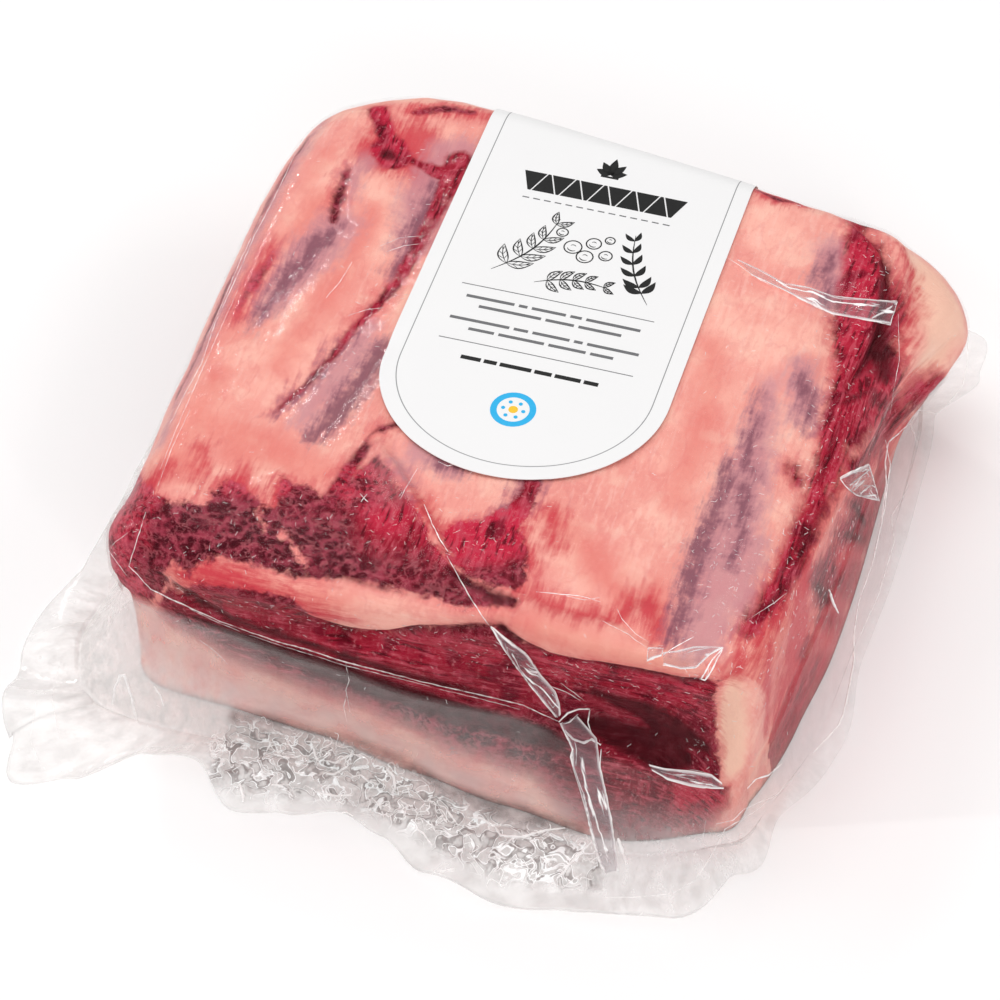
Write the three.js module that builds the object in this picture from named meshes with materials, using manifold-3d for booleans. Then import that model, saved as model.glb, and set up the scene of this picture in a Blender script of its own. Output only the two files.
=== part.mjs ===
// A block of raw beef rib-eye, vacuum-packed in a clear bag, with a round-ended label.
// Millimetres, +Z up. The origin is the middle of the block's flat underside, -Y is the
// cut front face and +Y the back edge, over which the label is folded.
// The bag and the meat that fills it are one closed solid: the clear film has no thickness
// worth a solid of its own, so the slack film at the foot is filled out as well.

import * as THREE from "three";
import { mergeVertices } from "three/addons/utils/BufferGeometryUtils.js";
import Module from "manifold-3d";

const wasm = await Module();
wasm.setup();

// The block
const HEIGHT = 80;
const MIDDLE = 40;
const CENTRE = [0, 8];
const CROWN = 1.5;

// The side of the meat half way up, anticlockwise from above, one station every 35 mm
const SIDE = [
  [-100, -102], [-72, -104], [-38, -105], [-4, -106], [30, -106], [64, -106], [97, -105],
  [110, -93], [114, -60], [116, -25], [117, 12], [116, 50], [113, 86],
  [103, 105], [70, 112], [34, 117], [-2, 122], [-38, 127], [-76, 129],
  [-105, 114], [-114, 84], [-115, 46], [-114, 8], [-113, -30], [-112, -62], [-110, -88],
];

// What changes round the block, as [station, millimetres] pairs
const SHOULDER_IN = [
  [0, 24], [1, 30], [2, 32], [3, 24], [4, 14], [6, 9], [7, 9], [9, 14], [13, 13], [15, 11],
  [17, 12], [19, 18], [21, 14], [24, 14], [25, 19],
];
const SHOULDER_DOWN = [
  [0, 22], [1, 16], [2, 12], [6, 13], [8, 17], [12, 16], [15, 12], [17, 12], [19, 18], [25, 18],
];
const FOOT_OUT = [
  [0, 0], [1, 1], [2, 3], [3, 8], [4, 13], [5, 17], [6, 6], [7, -1], [8, 2], [9, 4],
  [11, 3], [13, 0], [25, 0],
];
const FILM_LEAVES = [
  [0, 48], [1, 44], [2, 39], [3, 35], [4, 36], [5, 30], [6, 24], [7, 30], [8, 34], [12, 30],
  [14, 20], [18, 20], [20, 26], [24, 34],
];
const TENT_OUT = [
  [0, 20], [1, 16], [2, 17], [4, 22], [5, 23], [6, 13], [7, 5], [8, 9], [12, 9],
  [13, 14], [14, 8], [18, 8], [20, 9], [24, 14], [25, 20],
];
const FLANGE_OUT = [
  [0, 52], [0.25, 63], [0.5, 51], [0.75, 34], [1, 30], [1.5, 42], [2, 37], [2.5, 32], [3, 38], [3.5, 46],
  [4.2, 52], [5, 49], [5.5, 45], [6, 25], [7, 11], [8, 18], [9, 13], [10, 14], [12, 15],
  [12.5, 33], [13, 43], [13.7, 20], [14.5, 15], [18, 15], [19, 20], [21, 22], [24, 27], [25, 40],
];

// Lobes and hollows of the meat: where, how far they spread, and how far they push
const LOBES = [
  { name: "fat lobe at the back right", at: [112, 84, 46], spread: [26, 31, 27], push: [23, 8, 1] },
  { name: "crevice over the lobe", at: [108, 78, 70], spread: [9, 26, 6], push: [-5, 0, -2] },
  { name: "roll along the front", at: [56, -101, 74], spread: [44, 12, 8], push: [0, -4, 1] },
  { name: "hollow under the roll", at: [60, -104, 50], spread: [46, 14, 12], push: [0, 5, 0] },
  { name: "fat band", at: [-50, -102, 66], spread: [42, 12, 8], push: [0, -3, 0] },
  { name: "groove under the fat band", at: [-15, -105, 54], spread: [34, 9, 4], push: [0, 3, 0] },
  { name: "fat corner", at: [104, -101, 44], spread: [9, 12, 24], push: [3, -3, 0] },
];

// Lines on the top face: muscle between the ribs lies a little low, a twisted seam stands up
const TOP_LINES = [
  { points: [[-82, 46], [-89, 25], [-94, -5]], width: 7, rise: -1.6 },
  { points: [[-55, 90], [-54, 30], [-60, 0], [-73, -39]], width: 7, rise: -1.6 },
  { points: [[-47, -3], [-55, -46]], width: 6, rise: -1.4 },
  { points: [[84, 14], [78, -40], [77, -90]], width: 9, rise: -2.2 },
  { points: [[96, 60], [100, 0], [102, -60]], width: 6, rise: -1.8 },
  { points: [[-27, -55], [0, -85]], width: 5, rise: 2.6 },
];

// The film's flange lies in slack waves on what the block stands on
const FLANGE = { top: 2.6, under: 0.4, edge: 1.4, wave: 1.6, frontWave: 3.2, lift: 7 };

// The label
const LABEL = { left: -45, right: 54, endStart: -4, endLength: 41, lowEdge: 63 };
const LABEL_GAP = 0.3;
const LABEL_THICK = 0.5;

// How finely the bag is drawn, and the smallest facets that a join may leave
const FINEST = 0.05;
const COLUMNS_PER_STATION = 4;
const TOP_RINGS = 14;
const SHOULDER_RINGS = 5;
const WALL_RINGS = 6;
const TENT_RINGS = 5;
const FLANGE_RINGS = 3;
const COLUMNS = SIDE.length * COLUMNS_PER_STATION;

// The part of the plan that the rounding never reaches
const CORE = { left: -70, right: 70, front: -68, back: 76 };

const clamp = THREE.MathUtils.clamp;
const sideCurve = new THREE.CatmullRomCurve3(
  SIDE.map(([x, y]) => new THREE.Vector3(x, y, 0)), true, "catmullrom", 0.5);

function along(pairs, station) {
  const last = pairs.length - 1;
  const next = pairs.findIndex(([at]) => at > station);
  const [low, high] = next < 1
    ? [pairs[last], [pairs[0][0] + SIDE.length, pairs[0][1]]]
    : [pairs[next - 1], pairs[next]];
  const from = station < low[0] ? station + SIDE.length : station;
  const share = (from - low[0]) / (high[0] - low[0]);
  return low[1] + (high[1] - low[1]) * (share * share * (3 - 2 * share));
}

function distanceToLine(x, y, points) {
  let nearest = Infinity;
  for (let i = 1; i < points.length; i++) {
    const [ax, ay] = points[i - 1];
    const [bx, by] = points[i];
    const length2 = (bx - ax) ** 2 + (by - ay) ** 2;
    const k = clamp(((x - ax) * (bx - ax) + (y - ay) * (by - ay)) / length2, 0, 1);
    nearest = Math.min(nearest, Math.hypot(x - ax - k * (bx - ax), y - ay - k * (by - ay)));
  }
  return nearest;
}

function topHeight(x, y) {
  let z = HEIGHT + CROWN * (1 - (x / 110) ** 2 - (y / 120) ** 2);
  for (const { points, width, rise } of TOP_LINES) {
    z += rise * Math.exp(-((distanceToLine(x, y, points) / width) ** 2));
  }
  return z;
}

function pushed([x, y, z]) {
  const point = [x, y, z];
  for (const { at, spread, push } of LOBES) {
    const far = ((x - at[0]) / spread[0]) ** 2 + ((y - at[1]) / spread[1]) ** 2
      + ((z - at[2]) / spread[2]) ** 2;
    const share = Math.exp(-far);
    point[0] += push[0] * share;
    point[1] += push[1] * share;
    point[2] += push[2] * share;
  }
  return point;
}

function footOut(z, foot) {
  return foot * THREE.MathUtils.smoothstep(MIDDLE - z, 0, MIDDLE - 6);
}

// One profile of the bag, from the rim of the top face down to the block's underside
function profile(station) {
  const { x, y } = sideCurve.getPoint((station / SIDE.length) % 1);
  const inner = [clamp(x, CORE.left, CORE.right), clamp(y, CORE.front, CORE.back)];
  const reach = Math.hypot(x - inner[0], y - inner[1]);
  const [outX, outY] = [(x - inner[0]) / reach, (y - inner[1]) / reach];
  const shoulderIn = along(SHOULDER_IN, station);
  const shoulderDown = along(SHOULDER_DOWN, station);
  const foot = along(FOOT_OUT, station);
  const leaves = along(FILM_LEAVES, station);
  const tentOut = along(TENT_OUT, station);
  const flangeOut = along(FLANGE_OUT, station);
  const at = (out, z) => [x + outX * out, y + outY * out, z];
  const points = [];

  const rim = at(-shoulderIn, 0);
  for (let i = 1; i <= TOP_RINGS; i++) {
    const k = i / TOP_RINGS;
    const px = CENTRE[0] + (rim[0] - CENTRE[0]) * k;
    const py = CENTRE[1] + (rim[1] - CENTRE[1]) * k;
    points.push(pushed([px, py, topHeight(px, py)]));
  }
  const rimHeight = topHeight(rim[0], rim[1]);
  const wallTop = HEIGHT - shoulderDown;
  for (let i = 1; i <= SHOULDER_RINGS; i++) {
    const turn = (i / SHOULDER_RINGS) * (Math.PI / 2);
    const drop = (rimHeight - wallTop) * (1 - Math.cos(turn));
    points.push(pushed(at(-shoulderIn * (1 - Math.sin(turn)), rimHeight - drop)));
  }
  for (let i = 1; i <= WALL_RINGS; i++) {
    const z = wallTop + (leaves - wallTop) * (i / WALL_RINGS);
    points.push(pushed(at(footOut(z, foot), z)));
  }
  const start = footOut(leaves, foot);
  for (let i = 1; i <= TENT_RINGS; i++) {
    const k = i / TENT_RINGS;
    const z = leaves + (FLANGE.top - leaves) * k;
    const out = Math.max(start + (tentOut - start) * k ** 1.6, footOut(z, foot) + 1);
    points.push(pushed(at(out, z)));
  }
  const front = THREE.MathUtils.smoothstep(-y, 60, 105);
  const wave = FLANGE.wave + (FLANGE.frontWave - FLANGE.wave) * front;
  const lift = FLANGE.lift * Math.exp(-((Math.min(station, SIDE.length - station) / 1.5) ** 2));
  for (let i = 1; i <= FLANGE_RINGS; i++) {
    const k = i / FLANGE_RINGS;
    const ripple = 0.5 + 0.5 * Math.sin(station * 4.4 + k * 2.6 + 1.2 * Math.sin(station * 1.7));
    const z = FLANGE.edge + (FLANGE.top - FLANGE.edge) * (1 - k) + wave * ripple + lift * k * ripple;
    points.push(at(tentOut + (flangeOut - tentOut) * k, z));
  }
  points.push(at(flangeOut - 0.6, FLANGE.under));
  points.push(at(Math.max(tentOut - 4, foot + 1), FLANGE.under));
  points.push(at(foot - 3, 0));
  return points;
}

// The closed bag, or the same form standing off by a given distance
function bagForm(offset) {
  const columns = [];
  for (let c = 0; c < COLUMNS; c++) {
    columns.push(profile(c / COLUMNS_PER_STATION));
  }
  const rings = columns[0].length;
  const topPole = rings * COLUMNS;
  const positions = [];
  for (let r = 0; r < rings; r++) {
    for (let c = 0; c < COLUMNS; c++) {
      positions.push(...columns[c][r]);
    }
  }
  positions.push(...CENTRE, topHeight(...CENTRE));
  positions.push(...CENTRE, 0);
  const index = [];
  for (let c = 0; c < COLUMNS; c++) {
    const n = (c + 1) % COLUMNS;
    index.push(topPole, c, n);
    for (let r = 0; r + 1 < rings; r++) {
      const [a, b] = [r * COLUMNS + c, r * COLUMNS + n];
      const [d, e] = [a + COLUMNS, b + COLUMNS];
      index.push(a, d, e, a, e, b);
    }
    const low = (rings - 1) * COLUMNS;
    index.push(topPole + 1, low + n, low + c);
  }
  const geometry = new THREE.BufferGeometry();
  geometry.setAttribute("position", new THREE.Float32BufferAttribute(positions, 3));
  geometry.setIndex(index);
  if (offset > 0) {
    geometry.computeVertexNormals();
    const place = geometry.attributes.position;
    const normal = geometry.attributes.normal;
    for (let i = 0; i < place.count; i++) {
      place.setXYZ(i, place.getX(i) + normal.getX(i) * offset,
        place.getY(i) + normal.getY(i) * offset, place.getZ(i) + normal.getZ(i) * offset);
    }
    geometry.deleteAttribute("normal");
  }
  return geometry;
}

function toSolid(geometry) {
  geometry.deleteAttribute("normal");
  geometry.deleteAttribute("uv");
  const merged = mergeVertices(geometry, 1e-4);
  return new wasm.Manifold(new wasm.Mesh({
    numProp: 3,
    vertProperties: Float32Array.from(merged.attributes.position.array),
    triVerts: Uint32Array.from(merged.index.array),
  }));
}

function toGeometry(solid) {
  const mesh = solid.simplify(FINEST).getMesh();
  const geometry = new THREE.BufferGeometry();
  geometry.setAttribute("position", new THREE.Float32BufferAttribute(mesh.vertProperties, 3));
  geometry.setIndex([...mesh.triVerts]);
  geometry.computeVertexNormals();
  return geometry;
}

// The label is the skin just off the bag's surface, cut to the label's outline
function label() {
  const halfWidth = (LABEL.right - LABEL.left) / 2;
  const middle = (LABEL.right + LABEL.left) / 2;
  const beyond = 150;
  const outline = new THREE.Shape();
  outline.moveTo(LABEL.right, beyond);
  outline.lineTo(LABEL.left, beyond);
  outline.lineTo(LABEL.left, LABEL.endStart);
  outline.absellipse(middle, LABEL.endStart, halfWidth, LABEL.endLength, Math.PI, 2 * Math.PI, false);
  const cutter = new THREE.ExtrudeGeometry(outline, {
    depth: HEIGHT, bevelEnabled: false, curveSegments: 24,
  });
  cutter.translate(0, 0, LABEL.lowEdge);
  const skin = toSolid(bagForm(LABEL_GAP + LABEL_THICK)).subtract(toSolid(bagForm(LABEL_GAP)));
  return toGeometry(skin.intersect(toSolid(cutter)));
}

function named(name, geometry, color, roughness) {
  const material = new THREE.MeshStandardMaterial({ color, roughness, metalness: 0 });
  const mesh = new THREE.Mesh(geometry, material);
  mesh.name = name;
  return mesh;
}

const group = new THREE.Group();
group.add(named("vacuum_bag", bagForm(0), 0xd98a80, 0.25));
group.add(named("label", label(), 0xf4f4f2, 0.5));

export default group;
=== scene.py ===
"""A block of raw beef rib-eye, vacuum-packed in clear film, with a round-ended paper label."""

import math

import bmesh
import bpy
import numpy as np
from mathutils import Matrix, Vector
from mathutils.bvhtree import BVHTree
from mathutils.interpolate import poly_3d_calc


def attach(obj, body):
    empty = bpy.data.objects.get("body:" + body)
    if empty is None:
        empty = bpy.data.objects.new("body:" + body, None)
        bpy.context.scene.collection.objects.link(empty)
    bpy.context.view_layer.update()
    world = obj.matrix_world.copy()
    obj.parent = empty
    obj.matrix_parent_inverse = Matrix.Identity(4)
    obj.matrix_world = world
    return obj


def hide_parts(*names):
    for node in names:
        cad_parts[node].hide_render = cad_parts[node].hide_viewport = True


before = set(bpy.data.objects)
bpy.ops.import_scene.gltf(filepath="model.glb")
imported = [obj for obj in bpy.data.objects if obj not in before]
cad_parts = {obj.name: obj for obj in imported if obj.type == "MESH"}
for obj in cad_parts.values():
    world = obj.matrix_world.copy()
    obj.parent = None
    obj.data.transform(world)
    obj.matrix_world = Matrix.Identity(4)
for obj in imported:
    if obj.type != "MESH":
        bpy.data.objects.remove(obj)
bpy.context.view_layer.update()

MM = 0.001

# The photograph's width in pixels, and how much of the block a pixel shows
PHOTO_SIZE = 1000
MM_PER_PIXEL = 0.34

# The photograph's camera
CAMERA_AT = Vector((281.6, -878.4, 1054.4)) * MM
CAMERA_TURN = math.radians(18.2)
CAMERA_DOWN = math.radians(48.4)
CAMERA_ROLL = math.radians(-1.57)
CAMERA_LENS = 144
SENSOR = 36
PIXELS_PER_SLOPE = CAMERA_LENS / SENSOR * PHOTO_SIZE

# The block's form, in millimetres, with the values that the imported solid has
HEIGHT = 80
MIDDLE = 40
CENTRE = (0, 8)
CROWN = 1.5
CROWN_HALF = (110, 120)
SIDE = np.array([
    (-100, -102), (-72, -104), (-38, -105), (-4, -106), (30, -106), (64, -106), (97, -105),
    (110, -93), (114, -60), (116, -25), (117, 12), (116, 50), (113, 86),
    (103, 105), (70, 112), (34, 117), (-2, 122), (-38, 127), (-76, 129),
    (-105, 114), (-114, 84), (-115, 46), (-114, 8), (-113, -30), (-112, -62), (-110, -88)], float)
STATIONS = len(SIDE)
FRONT_ENDS = 7
RIGHT_ENDS = 13
# Round the block, as (station, millimetres): how far in and down the shoulder reaches, how far out
# the foot is, how high the film leaves the meat, and how far out the slack film and its rim lie
SHOULDER_IN = [
    (0, 24), (1, 30), (2, 32), (3, 24), (4, 14), (6, 9), (7, 9), (9, 14), (13, 13), (15, 11),
    (17, 12), (19, 18), (21, 14), (24, 14), (25, 19)]
SHOULDER_DOWN = [
    (0, 22), (1, 16), (2, 12), (6, 13), (8, 17), (12, 16), (15, 12), (17, 12), (19, 18), (25, 18)]
FOOT_OUT = [
    (0, 0), (1, 1), (2, 3), (3, 8), (4, 13), (5, 17), (6, 6), (7, -1), (8, 2), (9, 4),
    (11, 3), (13, 0), (25, 0)]
FILM_LEAVES = [
    (0, 48), (1, 44), (2, 39), (3, 35), (4, 36), (5, 30), (6, 24), (7, 30), (8, 34), (12, 30),
    (14, 20), (18, 20), (20, 26), (24, 34)]
TENT_OUT = [
    (0, 20), (1, 16), (2, 17), (4, 22), (5, 23), (6, 13), (7, 5), (8, 9), (12, 9),
    (13, 14), (14, 8), (18, 8), (20, 9), (24, 14), (25, 20)]
FLANGE_OUT = [
    (0, 52), (0.25, 63), (0.5, 51), (0.75, 34), (1, 30), (1.5, 42), (2, 37), (2.5, 32), (3, 38),
    (3.5, 46), (4.2, 52), (5, 49), (5.5, 45), (6, 25), (7, 11), (8, 18), (9, 13), (10, 14),
    (12, 15), (12.5, 33), (13, 43), (13.7, 20), (14.5, 15), (18, 15), (19, 20), (21, 22),
    (24, 27), (25, 40)]
# Lobes: where, how far they spread along x, y and z, and how far they push
LOBES = [
    ((112, 84, 46), (26, 31, 27), (23, 8, 1)),
    ((108, 78, 70), (9, 26, 6), (-5, 0, -2)),
    ((56, -101, 74), (44, 12, 8), (0, -4, 1)),
    ((60, -104, 50), (46, 14, 12), (0, 5, 0)),
    ((-50, -102, 66), (42, 12, 8), (0, -3, 0)),
    ((-15, -105, 54), (34, 9, 4), (0, 3, 0)),
    ((104, -101, 44), (9, 12, 24), (3, -3, 0))]
# Ridges and hollows between the ribs: points, how wide, and how far they rise
TOP_LINES = [
    ([(-82, 46), (-89, 25), (-94, -5)], 7, -1.6),
    ([(-55, 90), (-54, 30), (-60, 0), (-73, -39)], 7, -1.6),
    ([(-47, -3), (-55, -46)], 6, -1.4),
    ([(84, 14), (78, -40), (77, -90)], 9, -2.2),
    ([(96, 60), (100, 0), (102, -60)], 6, -1.8),
    ([(-27, -55), (0, -85)], 5, 2.6)]
# The film's flat rim: its height inside and at its edge, its waves, and its lift at the corner
FLANGE_TOP = 2.6
FLANGE_EDGE = 1.4
FLANGE_WAVE = 1.6
FRONT_WAVE = 3.2
CORNER_LIFT = 7
# Outwards is away from this core
CORE_LOW = np.array([-70, -68])
CORE_HIGH = np.array([70, 76])

# The label, in millimetres
LABEL_LEFT = -45
LABEL_RIGHT = 54
LABEL_END_START = -4
LABEL_END_LENGTH = 45
LABEL_LAST = 135
LABEL_LINE_IN = 5.6
MIDDLE_U = (LABEL_LEFT + LABEL_RIGHT) / 2
HALF_U = (LABEL_RIGHT - LABEL_LEFT) / 2

# How far the film stands off the meat, and the label off the film
FILM_OFF = 0.35
LABEL_OFF = 0.3
LABEL_THICK = 0.25
INK_THICK = 0.06

# How far inside or outside a mark is still told apart
FAR = 12

# Rings of the meshes: on top, round the shoulder and down the wall, then the film's tent and rim
BEEF_RINGS = (58, 14, 54)
FILM_RINGS = (34, 10, 24)
TENT_RINGS = 30
FLANGE_RINGS = 24

# Lumps in the meat: millimetres of rise, swing and seed, and how far they all sink
LUMPS = [(0.5, 16, 1), (0.3, 7, 2)]
LUMPS_SINK = 0.4
SMALL_LUMPS = (0.22, 3.2, 3)
SMALL_SINK = 0.2
# Behind slack film the meat keeps clear of it
SLACK_RECESS = 1.2
BEEF_LOWEST = 0.2

# The right side as the camera sees it: its least facing, its limits on the unfolded skin, how much
# its lean is let out and how much the film blurs it
SIDE_FACING = 0.02
SIDE_LEFT = 82
SIDE_FRONT = -104
SIDE_LEAN_OUT = 0.6
SIDE_BLUR = 0.2

# Film: its wrinkles where it clings; where it is slack, its crumples' rise, swing and seed, and how
# milky they and the gap along the meat's foot are, and how grey their painted shade is
WRINKLE_RISE = 0.2
BRIDGED_DEPTH = 0.8
CRUMPLES = [(1.6, 6.4, 23), (1.0, 3.6, 24)]
CRUMPLE_SHARP = 2.6
CRUMPLE_SQUEEZE = (1, 1, 1.5)
CRUMPLE_HAZE = 0.70
CRUMPLE_SHADE = 0.30
GLOOM_HAZE = 0.62
GLOOM_SHADE = 0.85
UNDER_HAZE = 0.04

# Folds of film: the step along them in pixels, squares across, how far off the film they are found
# and how much farther they lie, thickness, and the painted white highlight along each edge
FOLD_STEP = 2.5
FOLD_ACROSS = 10
FOLD_OFF = 0.1
FOLD_LIFT = 0.15
FOLD_THICK = 0.08
FOLD_EDGE = (0.9, 0.2)

# Ridges of creased film, white as painted highlight: how far off the film they lie, their radius at
# width 1, their share of it at the ends, how uneven it is, and how far they waver
RIDGE_OFF = 0.12
RIDGE_RADIUS = 0.55
RIDGE_ENDS = 0.35
RIDGE_UNEVEN = (0.55, 1.15)
RIDGE_WAVER = 0.5

LABEL_COLUMNS = 80
LABEL_ROWS = 96


# Form

def ease(low, high, value):
    """A smooth step from 0 at low to 1 at high."""
    share = np.clip((np.asarray(value, float) - low) / (high - low), 0, 1)
    return share * share * (3 - 2 * share)


def side_place(station):
    """The plan place half way up the side, on a smooth closed curve through SIDE."""
    first = np.floor(station).astype(int) % STATIONS
    share = (station - np.floor(station))[:, None]
    before, start, end, after = (SIDE[(first + step) % STATIONS] for step in (-1, 0, 1, 2))
    leave = (end - before) / 2
    arrive = (after - start) / 2
    return ((2 * share**3 - 3 * share**2 + 1) * start + (share**3 - 2 * share**2 + share) * leave
            + (3 * share**2 - 2 * share**3) * end + (share**3 - share**2) * arrive)


def around(pairs, station):
    """A value that changes round the block, from (station, millimetres) pairs."""
    at = np.array([pair[0] for pair in pairs] + [pairs[0][0] + STATIONS], float)
    value = np.array([pair[1] for pair in pairs] + [pairs[0][1]], float)
    first = np.clip(np.searchsorted(at, station, side="right") - 1, 0, len(pairs) - 1)
    share = ease(0, 1, (station - at[first]) / (at[first + 1] - at[first]))
    return value[first] + (value[first + 1] - value[first]) * share


def line_reach(place, points, widths=None):
    """How far each place lies inside a line of the given half-widths: over 0 is inside."""
    points = np.array(points, float)
    widths = np.zeros(len(points)) if widths is None else np.broadcast_to(widths, len(points))
    best = np.full(place.shape[:-1], -np.inf)
    if len(points) == 1:
        return widths[0] - np.linalg.norm(place - points[0], axis=-1)
    for start, end, wide, wide_end in zip(points, points[1:], widths, widths[1:]):
        step = end - start
        share = np.clip(((place - start) @ step) / (step @ step), 0, 1)
        off = np.linalg.norm(place - start - share[..., None] * step, axis=-1)
        best = np.maximum(best, wide + (wide_end - wide) * share - off)
    return best


def area_reach(place, points):
    """How far each place lies inside a closed outline: over 0 is inside."""
    closed = points + points[:1]
    off = -line_reach(place, closed)
    inside = np.zeros(place.shape[:-1], bool)
    for (ax, ay), (bx, by) in zip(closed, closed[1:]):
        crosses = (ay > place[..., 1]) != (by > place[..., 1])
        with np.errstate(divide="ignore", invalid="ignore"):
            at = ax + (place[..., 1] - ay) * (bx - ax) / ((by - ay) or 1e-9)
        inside ^= crosses & (place[..., 0] < at)
    return np.where(inside, off, -off)


def top_height(place):
    x, y = place[..., 0], place[..., 1]
    height = HEIGHT + CROWN * (1 - (x / CROWN_HALF[0]) ** 2 - (y / CROWN_HALF[1]) ** 2)
    for points, width, rise in TOP_LINES:
        height = height + rise * np.exp(-(line_reach(place, points) / width) ** 2)
    return height


def pushed(places):
    """The places after the lobes have pushed them."""
    result = places.copy()
    for at, spread, push in LOBES:
        share = np.exp(-(((places - np.array(at)) / np.array(spread)) ** 2).sum(-1))
        result += share[..., None] * np.array(push)
    return result


def foot_out(height, foot):
    return foot * ease(0, MIDDLE - 6, MIDDLE - height)


class Profile:
    """What the form needs at each station round the block."""

    def __init__(self, station):
        self.station = station
        self.side = side_place(station)
        inner = np.clip(self.side, CORE_LOW, CORE_HIGH)
        away = self.side - inner
        self.out = away / np.linalg.norm(away, axis=1, keepdims=True)
        self.shoulder_in = around(SHOULDER_IN, station)
        self.shoulder_down = around(SHOULDER_DOWN, station)
        self.foot = around(FOOT_OUT, station)
        self.leaves = around(FILM_LEAVES, station)
        self.tent_out = around(TENT_OUT, station)
        self.flange_out = around(FLANGE_OUT, station)
        self.rim = self.side - self.out * self.shoulder_in[:, None]
        self.wall_top = HEIGHT - self.shoulder_down

    def at(self, out, height):
        plan = self.side + self.out * np.asarray(out)[:, None]
        return np.column_stack([plan, np.broadcast_to(height, len(plan))])

    def facing(self, turn):
        """Up at a turn of 0, outwards at a quarter turn."""
        return np.column_stack([self.out * math.sin(turn), np.full(len(self.out), math.cos(turn))])

    def top(self, rings, shoulder_rings):
        middle = np.array(CENTRE)
        for ring in range(1, rings + 1):
            plan = middle + (self.rim - middle) * ring / rings
            yield np.column_stack([plan, top_height(plan)]), self.facing(0)
        rim_height = top_height(self.rim)
        for ring in range(1, shoulder_rings + 1):
            turn = ring / shoulder_rings * math.pi / 2
            height = rim_height - (rim_height - self.wall_top) * (1 - math.cos(turn))
            yield self.at(-self.shoulder_in * (1 - math.sin(turn)), height), self.facing(turn)

    def wall(self, rings, low):
        for ring in range(1, rings + 1):
            height = self.wall_top + (low - self.wall_top) * ring / rings
            yield self.at(foot_out(height, self.foot), height), self.facing(math.pi / 2)

    def tent(self, rings):
        start = foot_out(self.leaves, self.foot)
        for ring in range(1, rings + 1):
            share = ring / rings
            height = self.leaves + (FLANGE_TOP - self.leaves) * share
            out = np.maximum(start + (self.tent_out - start) * share**1.6,
                             foot_out(height, self.foot) + 1)
            yield self.at(out, height), self.facing(math.pi / 2 - share**2 * math.pi / 3)

    def flange(self, rings):
        station = self.station
        front = ease(60, 105, -self.side[:, 1])
        wave = FLANGE_WAVE + (FRONT_WAVE - FLANGE_WAVE) * front
        # About 18 ripples round the block, unevenly apart and aslant
        from_corner = np.minimum(station, STATIONS - station)
        lift = CORNER_LIFT * np.exp(-(from_corner / 1.5) ** 2)
        for ring in range(1, rings + 1):
            share = ring / rings
            ripple = 0.5 + 0.5 * np.sin(station * 4.4 + share * 2.6 + 1.2 * np.sin(station * 1.7))
            height = (FLANGE_EDGE + (FLANGE_TOP - FLANGE_EDGE) * (1 - share)
                      + wave * ripple + lift * share * ripple)
            out = self.tent_out + (self.flange_out - self.tent_out) * share
            yield self.at(out, height), self.facing(0)


def unfolded(rings, profile):
    """The block's skin laid flat: plan places on top, then outwards by how far down they lie."""
    down = np.maximum(HEIGHT - rings[..., 2:], 0)
    return rings[..., :2] + profile.out[None] * down


def noise(places, swing, seed):
    """Smooth noise from -1 to 1 that changes every `swing` millimetres."""
    side = 32
    past_zero = 500.37
    table = np.random.default_rng(seed).uniform(-1, 1, (side, side, side))
    scaled = places / swing + past_zero
    cell = np.floor(scaled).astype(int)
    share = ease(0, 1, scaled - cell)
    total = np.zeros(places.shape[:-1])
    for corner in np.ndindex(2, 2, 2):
        index = (cell + corner) % side
        weight = np.prod(np.where(corner, share, 1 - share), axis=-1)
        total += weight * table[index[..., 0], index[..., 1], index[..., 2]]
    return total


# What is seen on the meat, as places on the unfolded skin in millimetres

SEAM_TOP = [(-45, -121), (-39, -126), (-29, -134), (-20, -130), (-10, -125), (0, -118), (8, -115),
            (14, -112), (22, -108)]
ROLL_LOW = [(26, -107), (34, -113), (43, -117), (51, -116), (60, -114), (74, -113), (90, -113),
            (98, -111)]
CREVICE = [(97, 102), (102, 92), (108, 80), (113, 68), (117, 56), (117, 44), (112, 30)]

# Swellings and grooves: points, how wide, and how far they rise
RELIEF = [
    ([(-84, -117), (-60, -113), (-30, -113), (0, -109), (20, -103)], 7, 3.0),
    (SEAM_TOP, 2.2, -3.2),
    (ROLL_LOW, 2.4, -3.4),
    ([(34, -103), (55, -105), (88, -105)], 7, 3.2),
    ([(28, -89), (41, -92), (51, -92), (60, -90), (66, -82)], 3.2, -2.2),
    ([(60, -92), (72, -98), (80, -100)], 2.4, -1.8),
    ([(70, -90)], 6, 1.6),
    ([(-34, -47), (-23, -59), (-14, -69), (-6, -79), (-1, -86), (6, -92)], 3.0, 2.2),
    ([(-28, -46), (-18, -57), (-8, -68), (4, -82)], 3.0, -1.5),
    ([(-104, -108), (-80, -108), (-40, -104), (0, -102), (28, -98)], 2.2, -1.6),
    (CREVICE, 4.5, -5.5),
    ([(94, 62), (104, 38), (106, 0), (110, -30), (108, -60), (102, -84)], 5, -2.6),
    ([(132, 62), (134, 30), (124, -12), (119, -40), (113, -66)], 5, 2.4),
    ([(153, 66), (154, 50), (155, 42)], 5, 2.0),
    ([(144, 72), (143, 56), (142, 40)], 3, -2.5),
    ([(163, 72), (165, 52)], 3, -2.5),
    ([(107, -106), (113, -122), (122, -134)], 4, -2.0),
    ([(60, -148), (90, -152), (120, -146)], 7, -4.0),
    ([(-86, 78), (-85, 66), (-83, 52)], 2.0, -1.4),
    ([(-75, 91)], 9, -1.2),
    ([(-62, -68), (-58, -80)], 3, 1.0),
    ([(-99, -121), (-86, -130), (-70, -136)], 3, -1.5),
    ([(-122, -100), (-128, -110)], 12, 5.0),
    ([(119, 84), (126, 70), (124, 52)], 4, -1.6),
]

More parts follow.
